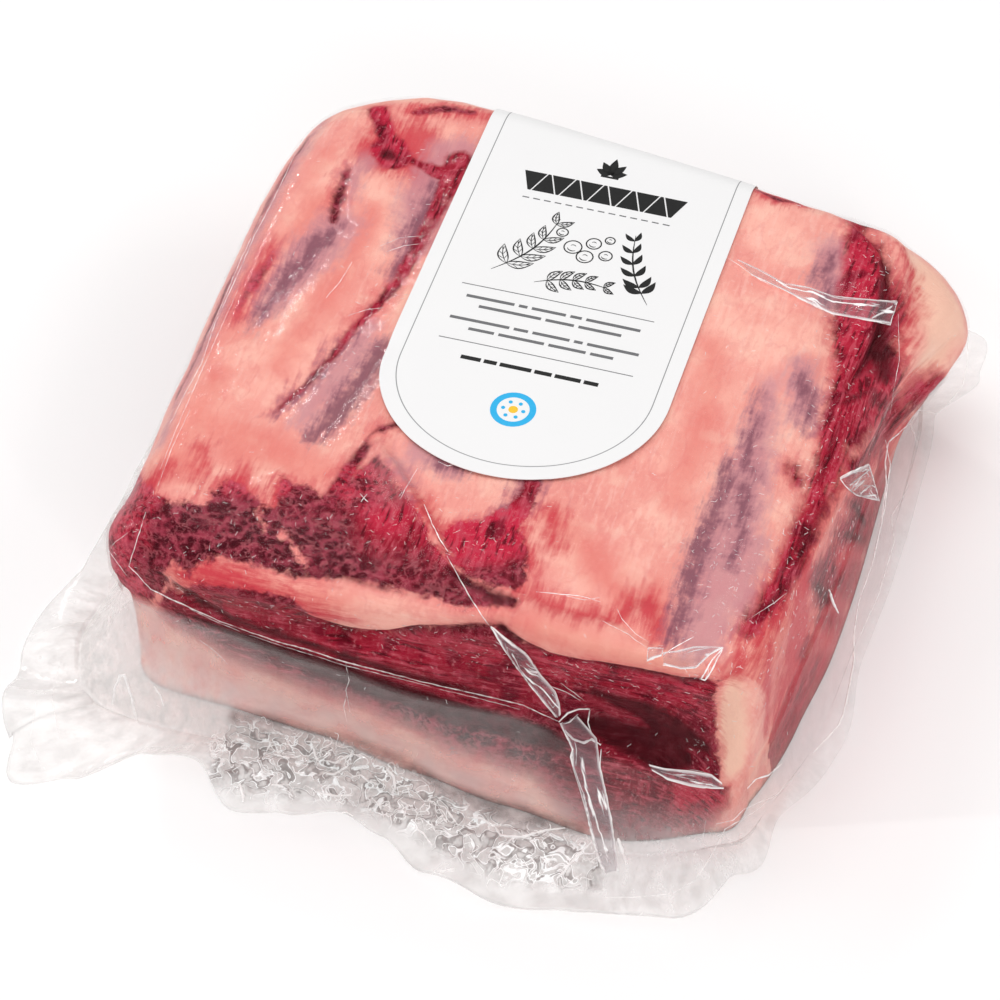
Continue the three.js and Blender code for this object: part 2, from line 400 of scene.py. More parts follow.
# Lean meat: closed outlines
LEAN_AREAS = [
    # The marbled cut face, left to right
    [(-150, -50), (-118, -72), (-104, -84), (-96, -86), (-86, -86), (-80, -84), (-80, -78),
     (-77, -73), (-73, -73), (-69, -77), (-65, -77), (-63, -81), (-58, -80), (-58, -74), (-62, -69),
     (-60, -67), (-55, -70), (-51, -68), (-46, -71), (-40, -68), (-37, -57), (-32, -50), (-28, -51),
     (-20, -61), (-11, -73), (-3, -83), (5, -89), (15, -92), (28, -95), (29, -97), (11, -103),
     (-3, -102), (-18, -102), (-32, -104), (-43, -105), (-53, -106), (-64, -106), (-75, -107),
     (-79, -110), (-80, -114), (-91, -112), (-97, -118), (-104, -126), (-118, -131), (-134, -126),
     (-160, -112), (-200, -80)],
    # The redder patch right of the twisted seam
    [(-5, -74), (7, -67), (14, -60), (17, -46), (22, -47), (22, -66), (26, -76), (29, -84),
     (27, -89), (21, -93), (12, -91), (5, -88), (-2, -80)],
    # Streaks inside the band of fat
    [(-93, -126), (-86, -121), (-76, -117), (-64, -114), (-52, -113), (-43, -113), (-36, -118),
     (-40, -124), (-46, -131), (-60, -136), (-80, -136)],
    # The lower muscle, down to where the slack film blurs it
    [(-104, -126), (-92, -127), (-80, -131), (-66, -133), (-55, -129), (-45, -122), (-39, -126),
     (-29, -134), (-20, -130), (-10, -125), (0, -118), (8, -115), (14, -112), (22, -108), (27, -107),
     (34, -113), (43, -117), (51, -115), (60, -113), (74, -112), (90, -112), (97, -110), (102, -108),
     (108, -121), (117, -132), (126, -140), (134, -152), (130, -170), (120, -186), (104, -200),
     (70, -204), (54, -194), (40, -180), (10, -176), (-19, -167), (-42, -164),
     (-61, -160), (-78, -156), (-98, -148), (-112, -142), (-116, -136)],
    # The dark strip's far end, and the flap at the right front corner's foot
    [(87, 130), (88, 98), (100, 102), (98, 130)],
    [(109, -163), (122, -157), (140, -150), (146, -158), (138, -182), (112, -190)],
    # The back cut face and the left side, out of the photograph's sight
    [(-92, 150), (-60, 158), (-20, 150), (20, 140), (60, 134), (86, 124), (96, 132), (90, 160),
     (50, 178), (0, 186), (-60, 190), (-96, 178)],
    [(-140, 100), (-128, 60), (-133, 20), (-128, -20), (-134, -60), (-160, -60), (-186, -20),
     (-184, 40), (-178, 96), (-160, 112)],
]
# Strands of fat that lie across the lean, with half-widths
FAT_LINES = [
    ([(-35, -43), (-30, -49), (-23, -57), (-15, -66), (-9, -73), (-3, -79), (4, -84)],
     [3.4, 3.6, 3.2, 2.6, 2.0, 1.4, 0.4]),
    ([(-64, -84), (-58, -89), (-50, -92), (-46, -96), (-42, -101)], [0.4, 1.2, 1.3, 1.2, 0.6]),
    ([(-61, -68), (-60, -76), (-64, -80)], [1.2, 1.0, 0.4]),
    ([(-24, -118), (-8, -116), (6, -112)], [1.0, 1.6, 1.0]),
]
# Lean meat: lines, with half-widths
LEAN_LINES = [
    ([(-75, 92), (-72, 88)], [7, 6]),
    ([(-75, 92), (-80, 102), (-86, 112)], [3, 3.5, 4]),
    ([(-75, 92), (-64, 88), (-54, 88)], [3, 1.5, 4]),
    ([(-72, 113), (-62, 118), (-52, 119)], [1.5, 2, 1]),
    ([(-86, 79), (-85, 67), (-83, 53)], [0.8, 2.0, 1.6]),
    ([(-97, 30), (-99, 16), (-101, 2)], [0.6, 1.8, 0.4]),
    ([(-50, 93), (-49, 78), (-50, 62), (-51, 46), (-52, 30), (-56, 16), (-60, 5)],
     [5, 4, 3, 3, 2.4, 2, 1.2]),
    ([(-60, 5), (-62, -8), (-67, -24), (-73, -39)], [1.0, 1.4, 1.3, 0.6]),
    ([(-29, -33), (-35, -38), (-38, -48), (-40, -58), (-40, -68)], [0.8, 1.6, 2.0, 2.5, 4]),
    ([(56, 110), (64, 106), (72, 110)], [1.2, 1.6, 0.8]),
    ([(-104, -84), (-108, -92), (-120, -104)], [3, 5, 5]),
    ([(-111, 96), (-112, 70), (-113, 40)], [1.0, 1.6, 0.8]),
    ([(-112, 24), (-113, 0), (-112, -40)], [0.8, 1.4, 1.0]),
]
# The right side as pixels of the photograph: closed outlines of lean, and lines with half-widths
SIDE_LEAN_AREAS = [
    [(862, 216), (853, 220), (847, 236), (846, 263), (842, 284), (838, 299), (834, 326), (837, 357),
     (832, 389), (824, 408), (823, 418), (821, 445), (816, 472), (808, 501), (796, 526), (785, 549),
     (776, 570), (762, 592), (748, 612), (742, 628), (750, 634), (766, 622), (780, 606), (790, 586),
     (798, 570), (812, 533), (828, 501), (839, 485), (848, 476), (866, 464), (876, 453), (890, 437),
     (900, 423), (918, 409), (936, 393), (942, 380), (936, 374), (920, 384), (908, 396), (902, 408),
     (899, 383), (898, 347), (902, 334), (906, 313), (905, 295), (899, 276), (893, 263), (888, 246),
     (882, 236), (872, 225)],
    [(850, 501), (861, 495), (877, 502), (880, 517), (876, 535), (868, 549), (860, 542), (850, 546),
     (840, 545), (838, 533), (846, 522), (852, 512)],
    [(838, 544), (828, 556), (816, 566), (812, 580), (818, 590), (818, 606), (830, 612), (838, 604),
     (840, 594), (852, 594), (858, 580), (860, 566), (850, 572), (840, 570), (836, 560)]]
SIDE_LEAN_LINES = [
    ([(826, 620), (836, 621)], [3, 4]),
    ([(822, 664), (808, 692), (796, 718), (784, 748), (768, 772)], [3, 6, 7, 7, 5]),
    ([(792, 466), (797, 476)], [5, 4]),
    ([(884, 452), (886, 476), (882, 500), (876, 530)], [1, 2.5, 3, 2]),
    ([(812, 640), (806, 656)], [1, 3])]
SIDE_FAT_LINES = [
    ([(880, 420), (868, 438), (856, 450), (850, 458)], [2, 4, 4, 1]),
    ([(846, 440), (842, 470), (830, 492)], [0.6, 1.4, 1.0])]
# Painted shade on the right side: the hollow by the lobe and dark lines in its grooves
SIDE_PAINTED_SHADE_LINES = [
    ([(886, 250), (884, 290), (889, 320), (889, 350), (884, 378)], [2, 5, 8, 9, 5]),
    ([(820, 588), (832, 602)], [4, 4]),
    ([(850, 536), (866, 540)], [3, 3]),
    ([(828, 500), (812, 530), (797, 562)], [1.5, 2, 1.5]),
    ([(782, 590), (768, 608)], [3, 3]),
    ([(842, 420), (832, 450), (822, 478)], [1, 2.5, 1.5]),
    ([(846, 400), (866, 392)], [3, 2])]
SIDE_BLUSH_LINES = [
    # The first line is painted shade: a redder band down the lobe's hollow flank, where light reaches
    # less
    ([(900, 280), (908, 300), (905, 330)], [2, 4, 2]),
    ([(870, 500), (856, 560), (842, 620)], [14, 16, 14]),
    ([(836, 640), (822, 664), (806, 694), (790, 728)], [18, 17, 13, 10]),
    ([(780, 612), (764, 640), (752, 660)], [8, 5, 3]),
    ([(796, 620), (790, 660), (776, 710)], [3, 5, 3]),
    ([(714, 672), (720, 690), (716, 704)], [7, 7, 3]),
    ([(700, 780), (730, 770), (752, 768)], [3, 5, 4]),
    ([(866, 470), (890, 440), (905, 424)], [9, 8, 6])]
SIDE_CORAL_LINES = [
    ([(836, 500), (812, 560), (790, 620), (776, 690), (764, 744)], [12, 20, 34, 30, 16])]

# Between the ribs the muscle shows through a thin skin: purple marks, with half-widths
PURPLE_LINES = [
    ([(-81, 50), (-84, 42), (-87, 32), (-90, 18), (-94, -4)], [2, 4, 4.5, 3.5, 1.2]),
    ([(-47, 0), (-48, -14), (-51, -28), (-54, -40), (-57, -48)], [3, 4.5, 5, 4, 1.5]),
    ([(-58, 4), (-62, -10), (-67, -26), (-73, -40)], [1.2, 2.0, 2.0, 0.8]),
    ([(-52, 80), (-54, 56), (-54, 34)], [4, 3.5, 3]),
    ([(81, 14), (83, 3), (84, -10), (87, -30), (90, -48), (91, -62)], [1.2, 1.6, 2.2, 2.6, 2.6, 1.2]),
    ([(80, -18), (81, -43), (80, -58), (81, -72), (81, -84), (81, -97)],
     [2, 3, 3.6, 3.6, 3.4, 2.5]),
    ([(19, -46), (18, -56), (15, -63), (9, -69)], [4.5, 4, 3, 1.5]),
    ([(92, 26), (98, 14), (100, 4)], [2, 3, 1.5]),
    ([(86, 84), (86, 72), (90, 62)], [1, 3, 2]),
    ([(-12, -47), (-4, -48)], [3, 1.5]),
    ([(-30, -68), (-18, -70)], [1.5, 2.5]),
]
# The pale skin over the muscle
LILAC_LINES = [
    ([(-80, 86), (-83, 76), (-80, 66)], [3, 3, 1]),
    ([(-80, 50), (-85, 34), (-91, 8)], [8, 9, 5]),
    ([(-52, 94), (-54, 70), (-53, 48)], [10, 10, 7]),
    ([(-54, 6), (-57, -16), (-62, -40)], [4, 6, 4]),
    ([(-26, -50), (-20, -59)], [2.5, 2]),
    ([(-20, -44), (-8, -48)], [5, 4]),
    ([(84, 20), (86, -10), (89, -50), (90, -94)], [3, 6, 9, 8]),
    ([(92, 28), (98, 8)], [5, 5]),
    ([(86, 86), (90, 62)], [5, 4]),
    ([(97, -50), (96, -76)], [5, 5]),
    ([(-108, 110), (-109, 60), (-110, 0), (-109, -60)], [1.5, 3, 3, 2]),
]
# Fat that blood has stained, with half-widths
BLUSH_LINES = [
    ([(28, -89), (41, -93), (51, -93), (59, -92), (64, -84)], [2, 3, 3, 3, 2]),
    ([(62, -90), (68, -84), (77, -95)], [3, 4, 4]),
    ([(-84, -114), (-74, -112), (-60, -115), (-40, -118), (-24, -120)], [3, 5, 6, 5, 2]),
    ([(-34, -123), (-27, -121)], [2.5, 2]),
    ([(-24, -56), (-14, -66), (-4, -76)], [2, 2.5, 2]),
    ([(-98, -72), (-104, -80), (-110, -90)], [2, 5, 7]),
    ([(-73, -68), (-73, -76)], [2, 5]),
    ([(-60, -72), (-58, -82)], [2, 3]),
    ([(-75, 92)], [12]),
    ([(-72, 114), (-40, 119)], [3, 2]),
    ([(60, 108), (70, 108)], [4, 3]),
    ([(-99, 34), (-102, 0)], [3, 3]),
    ([(30, -58), (34, -72)], [3, 2]),
    ([(22, -68), (30, -82)], [2, 3]),
    ([(100, -90), (106, -102)], [2, 5]),
    ([(110, 98), (118, 88), (123, 72), (126, 56)], [1, 2, 3, 3]),
    ([(146, 30), (160, 46)], [4, 3]),
    ([(150, -20), (170, -10), (186, 4)], [6, 8, 6]),
    ([(152, -70), (160, -96)], [6, 6]),
    ([(120, -50), (140, -64), (170, -56), (186, -60)], [6, 14, 12, 10]),
    ([(112, -84), (126, -100), (150, -110)], [2, 5, 4]),
    ([(-68, 100), (-64, 88), (-58, 80)], [9, 8, 5]),
    ([(-90, -60), (-86, -76)], [1, 2]),
]
# Paler fat, with half-widths
CREAM_LINES = [
    ([(119, 98), (132, 84), (140, 66)], [7, 10, 8]),
    ([(106, -104), (112, -114), (120, -126), (134, -138)], [1, 5, 8, 7]),
    # Along the roll's crest, a pale line of painted highlight
    ([(40, -103), (60, -105), (84, -106)], [1, 2, 2]),
    ([(160, 74), (166, 60)], [5, 5]),
]
# Stronger coral fat, with half-widths
CORAL_LINES = [
    ([(-92, -118), (-74, -113), (-50, -112), (-28, -112)], [3, 4, 4, 3]),
    ([(26, -101), (40, -104), (56, -106), (84, -108)], [2, 5, 5, 3]),
    ([(-97, -30), (-98, -56), (-94, -70)], [3, 6, 5]),
    ([(-78, -60), (-60, -60)], [4, 3]),
    ([(-30, -46), (-22, -57), (-10, -70)], [2, 2.5, 2]),
    ([(116, -60), (128, -80), (150, -90), (176, -90)], [6, 10, 14, 10]),
    ([(70, -80), (78, -96)], [3, 4]),
    ([(-90, 60), (-93, 40)], [4, 3]),
    ([(-98, 84), (-104, 60), (-106, 20), (-104, -20)], [2, 4, 4, 3]),
    ([(-70, 60), (-72, 20), (-78, -20)], [2, 3, 2]),
    ([(-94, -50), (-70, -56), (-50, -62)], [5, 6, 4]),
    ([(30, -60), (46, -70), (60, -84)], [3, 4, 4]),
    ([(60, 30), (66, 0), (66, -40)], [2, 3, 2]),
]
# Painted shade: the darkest places, in grooves, the crevice and under the roll, where light doesn't
# reach
PAINTED_SHADE_LINES = [
    (SEAM_TOP, 1.1),
    (ROLL_LOW, 1.3),
    (CREVICE, [0.4, 1.0, 1.4, 1.7, 1.8, 1.4, 0.6]),
    ([(-96, -124), (-84, -132), (-66, -137), (-40, -141), (-10, -145), (20, -147)],
     [1.6, 1.8, 1.5, 1.5, 1.5, 1.5]),
    ([(-92, -139), (-60, -147), (-20, -155), (20, -160), (44, -162)], [1, 4, 6, 6, 5]),
    ([(56, -138), (80, -143), (100, -146), (120, -143)], [2, 6, 8, 3]),
    ([(48, -150), (70, -155), (92, -156), (112, -152)], [2, 5, 8, 3]),
    ([(5, -91), (15, -93.5), (24, -95), (29, -96)], [1.2, 2, 1.8, 1]),
    ([(115, -24), (113, -42), (109, -62)], [0.4, 0.8, 0.4]),
    ([(-60, -105), (-30, -103), (0, -102)], [0.4, 1.2, 0.6]),
    ([(152, 4), (170, 16), (184, 22)], [1, 2, 1]),
    ([(-75, 90)], [3]),
]
# How bright the lean is: 0 is nearly brown, 1 is bright red
LEAN_TONES = [
    (0.10, [(-104, -96), (-80, -92), (-56, -96), (-30, -98)], 13),
    (0.45, [(-30, -80), (-10, -92)], 8),
    (0.85, [(-36, -62), (-28, -66), (-20, -72)], 9),
    (0.98, [(4, -78), (16, -70)], 11),
    (0.98, [(-108, -78), (-120, -92), (-128, -116)], 15),
    (0.75, [(-104, -90), (-104, -104)], 4),
    (0.95, [(-74, -75), (-60, -72)], 4),
    (0.50, [(-80, -124), (-50, -124)], 8),
    (0.66, [(-30, -134), (20, -126), (60, -123), (96, -121)], 9),
    (0.12, [(-100, -146), (-40, -158), (10, -165), (52, -166)], 9),
    (0.80, [(94, 96), (97, 70), (105, 30)], 8),
    (0.66, [(112, 40), (112, 0), (112, -40), (104, -78)], 9),
    (0.55, [(112, 88), (120, 74), (126, 52)], 7),
    (0.75, [(124, 40), (132, 16)], 9),
    (0.80, [(-76, 92), (-84, 110)], 9),
    (0.60, [(-50, 90), (-52, 40), (-60, 4)], 7),
    (0.90, [(-97, 30), (-101, 2)], 3),
    (0.35, [(-86, 78), (-83, 52)], 3),
    (0.30, [(70, -175), (100, -172)], 12),
    (0.75, [(116, -168), (134, -160)], 9),
    (0.60, [(142, 50), (157, 60)], 6),
    (0.35, [(150, 4), (190, 26)], 10),
    (0.35, [(195, -50), (190, -100)], 6),
]
# Where the lean is cut across its grain (0) and where its fibres run along the skin (1)
FIBRE_AREAS = [(1, [(-90, -127), (-50, -126)], 8),
               (1, [(-100, -150), (-40, -145), (20, -135), (60, -128), (100, -125)], 17),
               (1, [(70, -170), (134, -164)], 22),
               (1, [(92, 104), (98, 60), (110, 10), (114, -40), (100, -84)], 16),
               (1, [(130, 80), (150, 40), (160, -20), (190, -60)], 30),
               (1, [(-84, 110), (-75, 92), (-52, 90), (-52, 40), (-64, -20), (-74, -40)], 14),
               (1, [(-20, -80), (14, -74), (20, -50)], 10)]


# The marks that the meat's points keep: name, lines on the skin, lines on the right side
MARKS = [
    ("purple", PURPLE_LINES, ()),
    ("lilac", LILAC_LINES, ()),
    ("cream", CREAM_LINES, ()),
    ("blush", BLUSH_LINES, SIDE_BLUSH_LINES),
    ("coral", CORAL_LINES, SIDE_CORAL_LINES),
    ("painted_shade", PAINTED_SHADE_LINES, SIDE_PAINTED_SHADE_LINES),
]
# The lean's tone where nothing else is said, and how much crisper thin lines of it are
LEAN_TONE = 0.4
THIN_CRISPNESS = 0.7


def soft_sum(place, dabs, start):
    """A value laid on in turn by dabs of (value, line, half-width), each with a soft edge."""
    value = np.full(place.shape[:-1], float(start))
    for level, points, width in dabs:
        share = ease(-0.6 * width, 0.4 * width, line_reach(place, points, width))
        value += (level - value) * share
    return value


def reach_of(place, lines, areas=(), scale=1):
    """How far inside any of these lines and outlines each place is, in millimetres."""
    found = [line_reach(place, points, width) for points, width in lines]
    found += [area_reach(place, points) for points in areas]
    return np.clip(np.max(found, axis=0) * scale, -FAR, FAR)


def traced(in_photo, lines, areas=()):
    """The same for marks given in pixels, in millimetres across the line of sight."""
    return reach_of(in_photo, lines, areas, MM_PER_PIXEL)


def relief(place):
    height = np.zeros(place.shape[:-1])
    for points, width, rise in RELIEF:
        height += rise * np.exp(-(line_reach(place, points) / width) ** 2)
    return height


def under_label(place):
    """1 under the label, easing to 0 a little beyond it. Its round end is taken as three sides."""
    box = [(LABEL_LEFT, 160), (LABEL_LEFT, LABEL_END_START), (LABEL_LEFT + 14, -32), (MIDDLE_U, -45),
           (LABEL_RIGHT - 14, -32), (LABEL_RIGHT, LABEL_END_START), (LABEL_RIGHT, 160)]
    return ease(-4, 1, area_reach(place, box))


# Meshes

def new_mesh(name, points, faces, edges=()):
    mesh = bpy.data.meshes.new(name)
    mesh.from_pydata(points, edges, faces)
    return mesh


def keep(mesh, name, values):
    """Keeps one number for each point of a mesh."""
    layer = mesh.attributes.new(name, "FLOAT", "POINT")
    layer.data.foreach_set("value", np.asarray(values, np.float32))


def link(thing):
    bpy.context.scene.collection.objects.link(thing)
    return thing


def placed(name, mesh, *materials):
    for material in materials:
        mesh.materials.append(material)
    return link(bpy.data.objects.new(name, mesh))


def closed_outwards(mesh):
    work = bmesh.new()
    work.from_mesh(mesh)
    bmesh.ops.remove_doubles(work, verts=work.verts, dist=1e-7)
    bmesh.ops.recalc_face_normals(work, faces=work.faces)
    work.to_mesh(mesh)
    work.free()


def sheet_mesh(name, upper, lower, wide):
    """A closed thin sheet: two layers of points in rows of `wide`, joined round the border."""
    count = len(upper)
    long = count // wide
    faces = []
    for row in range(long - 1):
        for at in range(row * wide, row * wide + wide - 1):
            faces.append((at, at + 1, at + wide + 1, at + wide))
            faces.append((count + at, count + at + wide, count + at + wide + 1, count + at + 1))
    last = (long - 1) * wide
    border = [*range(wide), *range(2 * wide - 1, last + wide, wide),
              *range(last + wide - 2, last - 1, -1), *range(last - wide, 0, -wide)]
    faces += [(p, q, count + q, count + p) for p, q in zip(border, border[1:] + border[:1])]
    return new_mesh(name, [*upper, *lower], faces)


def ring_mesh(name, rings, top, low, skin):
    """One closed mesh: rings anticlockwise from above, from a pole on top to one below."""
    count, columns = rings.shape[:2]
    points = np.concatenate([rings.reshape(-1, 3), [top, low]]) * MM
    across = np.arange(columns)
    following = (across + 1) % columns
    start = np.arange(count - 1)[:, None] * columns
    quads = np.stack([start + across, start + columns + across,
                      start + columns + following, start + following], axis=-1).reshape(-1, 4)
    top_pole = count * columns
    last = (count - 1) * columns
    faces = quads.tolist()
    faces += [(top_pole, c, n) for c, n in zip(across.tolist(), following.tolist())]
    faces += [(top_pole + 1, last + n, last + c)
              for c, n in zip(across.tolist(), following.tolist())]
    mesh = new_mesh(name, points.tolist(), faces)
    flat = np.concatenate([skin.reshape(-1, 2), [skin[0].mean(0), skin[-1].mean(0)]])
    corners = np.empty(len(mesh.loops), int)
    mesh.loops.foreach_get("vertex_index", corners)
    layer = mesh.uv_layers.new(name="skin")
    layer.uv.foreach_set("vector", (flat[corners] * MM).ravel().astype(np.float32))
    mesh.shade_smooth()
    return mesh


def store(mesh, name, values, ends):
    """The same for a ring mesh, with the two poles' numbers at the end."""
    keep(mesh, name, np.concatenate([np.asarray(values).ravel(), ends]))


# Materials

MIX, MATH, RANGE = "ShaderNodeMix", "ShaderNodeMath", "ShaderNodeMapRange"
NOISE, KEPT, BUMP = "ShaderNodeTexNoise", "ShaderNodeAttribute", "ShaderNodeBump"
COATED, OUTPUT = "ShaderNodeBsdfPrincipled", "ShaderNodeOutputMaterial"
VECTOR = "ShaderNodeVectorMath"
SHARE, FIRST, SECOND = 0, 6, 7


def linear(code):
    """An sRGB hex colour as the linear values that Blender mixes."""
    values = [int(code[i:i + 2], 16) / 255 for i in (0, 2, 4)]
    return tuple(v / 12.92 if v < 0.04045 else ((v + 0.055) / 1.055) ** 2.4 for v in values) + (1,)


def add(tree, kind, inputs=None, out=None, **settings):
    """Adds a node with its settings, and its inputs from sockets or values; gives one output."""
    node = tree.nodes.new(kind)
    for key, value in settings.items():
        setattr(node, key, value)
    for key, value in (inputs or {}).items():
        if isinstance(value, bpy.types.NodeSocket):
            tree.links.new(value, node.inputs[key])
        else:
            node.inputs[key].default_value = value
    live = [socket for socket in node.outputs if socket.enabled]
    return node.outputs[out] if out else live[0] if live else node


def new_material(name):
    material = bpy.data.materials.new(name)
    material.use_nodes = True
    material.node_tree.nodes.clear()
    return material, material.node_tree


# Patterns in the meat: swing in millimetres, detail, roughness, how much longer it is along the
# skin's two directions, and whether its middle value makes thin lines
PATTERNS = {
    "broad": (28, 1, 0.5, (1, 1), False),
    "clouds": (11, 2, 0.5, (1, 1.3), False),
    "middle": (6, 3, 0.6, (1, 1), False),
    "fine": (1.7, 3, 0.65, (1, 1), False),
    "threads": (2.2, 2, 0.65, (1, 6), False),
    "strands": (1.7, 3, 0.7, (7, 1), False),
    "veins": (14, 3, 0.55, (1, 2), True),
    "marbling": (9, 3, 0.62, (1, 1), True),
}

# Colours laid on in turn: pattern or painted mark, how ragged and how streaky its edge is, the value
# where the colour starts, the value where it is full, its greatest share, and its sRGB code
FAT = [
    ("broad", 0, 0, 0.34, 0.66, 1.0, "F7B5A6"),
    ("clouds", 0, 0, 0.50, 0.70, 0.45, "E9968C"),
    ("clouds", 0, 0, 0.47, 0.30, 0.50, "F8C5B3"),
    ("streaks", 0, 0, 0.53, 0.70, 0.26, "FACDC0"),
    ("streaks", 0, 0, 0.46, 0.30, 0.24, "E58C84"),
    ("fine", 0, 0, 0.56, 0.76, 0.22, "FBD2C6"),
    ("fine", 0, 0, 0.44, 0.26, 0.20, "E38C86"),
    ("veins", 0.012, 0, 0.045, 0.0, 0.15, "D2626A"),
    ("cream", 0.5, 0, -4, 4, 0.80, "F8CBB4"),
    ("coral", 0.7, 0.5, -8, 4, 0.54, "E07068"),
    ("lean", 0.9, 0.7, -5, -0.3, 0.50, "D24F58"),
    ("blush", 0.9, 1.0, -6, 5, 0.85, "CA3444"),
    ("lilac", 1.1, 0.5, -5, 4, 0.80, "C88C93"),
    ("purple", 1.0, 0.6, -4, 1.5, 0.65, "A86F7B"),
    ("purple", 1.0, 0.6, -0.8, 3.5, 0.72, "7A4858"),
]
CUT = [
    ("tone", 0.02, 0, 0.55, 0.05, 0.90, "4A0E1A"),
    ("tone", 0.03, 0, 0.45, 0.95, 1.00, "B82A40"),
    ("clouds", 0, 0, 0.50, 0.66, 0.60, "A03548"),
    ("grains", 0.02, 0, 0.40, 0.68, 0.62, "AA4455"),
    ("grains", 0.02, 0, 0.36, 0.12, 0.60, "3C0814"),
    ("middle", 0, 0, 0.46, 0.34, 0.65, "3A0812"),
    ("fine", 0, 0, 0.54, 0.72, 0.38, "B8646E"),
    ("fine", 0, 0, 0.46, 0.28, 0.42, "3A0812"),
    ("marbling", 0.014, 0, 0.045, 0.0, 0.34, "CC6A74"),
    ("tone", 0.14, 0.06, 0.75, 1.45, 0.70, "E2697A"),
]
FIBRES = [
    ("tone", 0.03, 0.02, 0.55, 0.05, 0.85, "54081A"),
    ("tone", 0.03, 0.02, 0.45, 0.95, 1.00, "C42843"),
    ("middle", 0, 0, 0.50, 0.68, 0.50, "C04A5C"),
    ("clouds", 0, 0, 0.48, 0.34, 0.70, "62001A"),
    ("streaks", 0, 0, 0.52, 0.70, 0.50, "CB5A6A"),
    ("streaks", 0, 0, 0.47, 0.30, 0.85, "4A0412"),
    ("fine", 0, 0, 0.56, 0.76, 0.40, "DE8C94"),
]


# How wide a bundle of fibres is, and where on the skin their direction turns at the front's edge
BUNDLE = 3.4
FIBRES_TURN = (-103, -108)


def beef_material():
    """Raw beef: pale firm fat over dark lean muscle, moist where the film clings to it, with painted
    shade in its grooves.
    """
    material, tree = new_material("raw_beef_fat_and_lean")
    skin = add(tree, "ShaderNodeUVMap", uv_map="skin")
    values = {}
    for name, (swing, detail, roughness, longer, lined) in PATTERNS.items():
        at = skin
        if longer != (1, 1):
            at = add(tree, "ShaderNodeMapping",
                     {"Vector": at, "Scale": (1 / longer[0], 1 / longer[1], 1)})
        value = add(tree, NOISE, {"Vector": at, "Scale": 1 / (swing * MM), "Detail": detail,
                                  "Roughness": roughness}, noise_dimensions="2D")
        if lined:
            value = add(tree, MATH, {0: value, 1: 0.5}, operation="SUBTRACT")
            value = add(tree, MATH, {0: value}, operation="ABSOLUTE")
        values[name] = value
    # Fibres run from side to side on the front, and from front to back elsewhere
    across = add(tree, RANGE, {"Value": add(tree, "ShaderNodeSeparateXYZ", {0: skin}, out="Y"),
                               "From Min": FIBRES_TURN[0] * MM, "From Max": FIBRES_TURN[1] * MM},
                 interpolation_type="SMOOTHSTEP")
    values["streaks"] = add(tree, MIX, {SHARE: across, 2: values["threads"], 3: values["strands"]})
    # Every outline is ragged by a few millimetres, or streaky along the fibres
    ragged = add(tree, MATH, {0: values["middle"], 1: 7.0, 2: -3.5}, operation="MULTIPLY_ADD")
    ragged = add(tree, MATH, {0: values["fine"], 1: 3.0, 2: ragged}, operation="MULTIPLY_ADD")
    ragged = add(tree, MATH, {0: ragged, 1: 1.5}, operation="SUBTRACT")
    streaky = add(tree, MATH, {0: values["streaks"], 1: 12.0, 2: -6.0}, operation="MULTIPLY_ADD")
    # Bundles of fibres seen end on
    bend = add(tree, VECTOR, {0: (2.2 * MM, 1.6 * MM, 0), "Scale": ragged},
               operation="SCALE")
    bend = add(tree, VECTOR, {0: bend, 1: (0.25, 0.25, 0)}, operation="MULTIPLY")
    bent = add(tree, VECTOR, {0: skin, 1: bend}, operation="ADD")
    values["grains"] = add(tree, "ShaderNodeTexVoronoi", {"Vector": bent, "Scale": 1 / (BUNDLE * MM)},
                           voronoi_dimensions="2D")

    def laid_on(colour, layers):
        for name, ragged_share, streaky_share, start, full, most, code in layers:
            if name not in values:
                values[name] = add(tree, KEPT, out="Fac", attribute_name=name)
            value = values[name]
            for roughly, share in ((ragged, ragged_share), (streaky, streaky_share)):
                if share:
                    value = add(tree, MATH, {0: roughly, 1: share, 2: value},
                                operation="MULTIPLY_ADD")
            share = add(tree, RANGE, {"Value": value, "From Min": start, "From Max": full,
                                      "To Max": most}, interpolation_type="SMOOTHSTEP")
            colour = add(tree, MIX, {SHARE: share, FIRST: colour, SECOND: linear(code)},
                         data_type="RGBA")
        return colour

    fat = laid_on(linear("EE9F94"), FAT)
    cut = laid_on(linear("761C2A"), CUT)
    fibres = laid_on(linear("94182C"), FIBRES)
    along = add(tree, KEPT, out="Fac", attribute_name="fibre")
    meat = add(tree, MIX, {SHARE: along, FIRST: cut, SECOND: fibres}, data_type="RGBA")
    # Slack film hides how sharp the lean's outline is
    blur = add(tree, KEPT, out="Fac", attribute_name="blur")
    clear = add(tree, KEPT, out="Fac", attribute_name="raggedness")
    lean = add(tree, MATH, {0: ragged, 1: clear, 2: values["lean"]}, operation="MULTIPLY_ADD")
    soft = add(tree, MATH, {0: blur, 1: 6.0, 2: 1.2}, operation="MULTIPLY_ADD")
    outer = add(tree, MATH, {0: soft, 1: -1.0}, operation="MULTIPLY")
    share = add(tree, RANGE, {"Value": lean, "From Min": outer, "From Max": soft},
                interpolation_type="SMOOTHSTEP")
    colour = add(tree, MIX, {SHARE: share, FIRST: fat, SECOND: meat}, data_type="RGBA")
    # Painted shade laid on last: the darkest places in grooves, the crevice and along the foot
    colour = laid_on(colour, [("painted_shade", 0.35, 0, -1.8, 1.8, 0.82, "38050C")])
    bump = add(tree, BUMP, {"Height": values["fine"], "Strength": 0.5, "Distance": 0.5 * MM})
    surface = add(tree, COATED, {"Base Color": colour, "Roughness": 0.5, "Specular IOR Level": 0.04,
                                 "Normal": bump})
    add(tree, OUTPUT, {"Surface": surface})
    return material


FILM_IOR = 1.5
FILM_CLEARNESS = 0.965


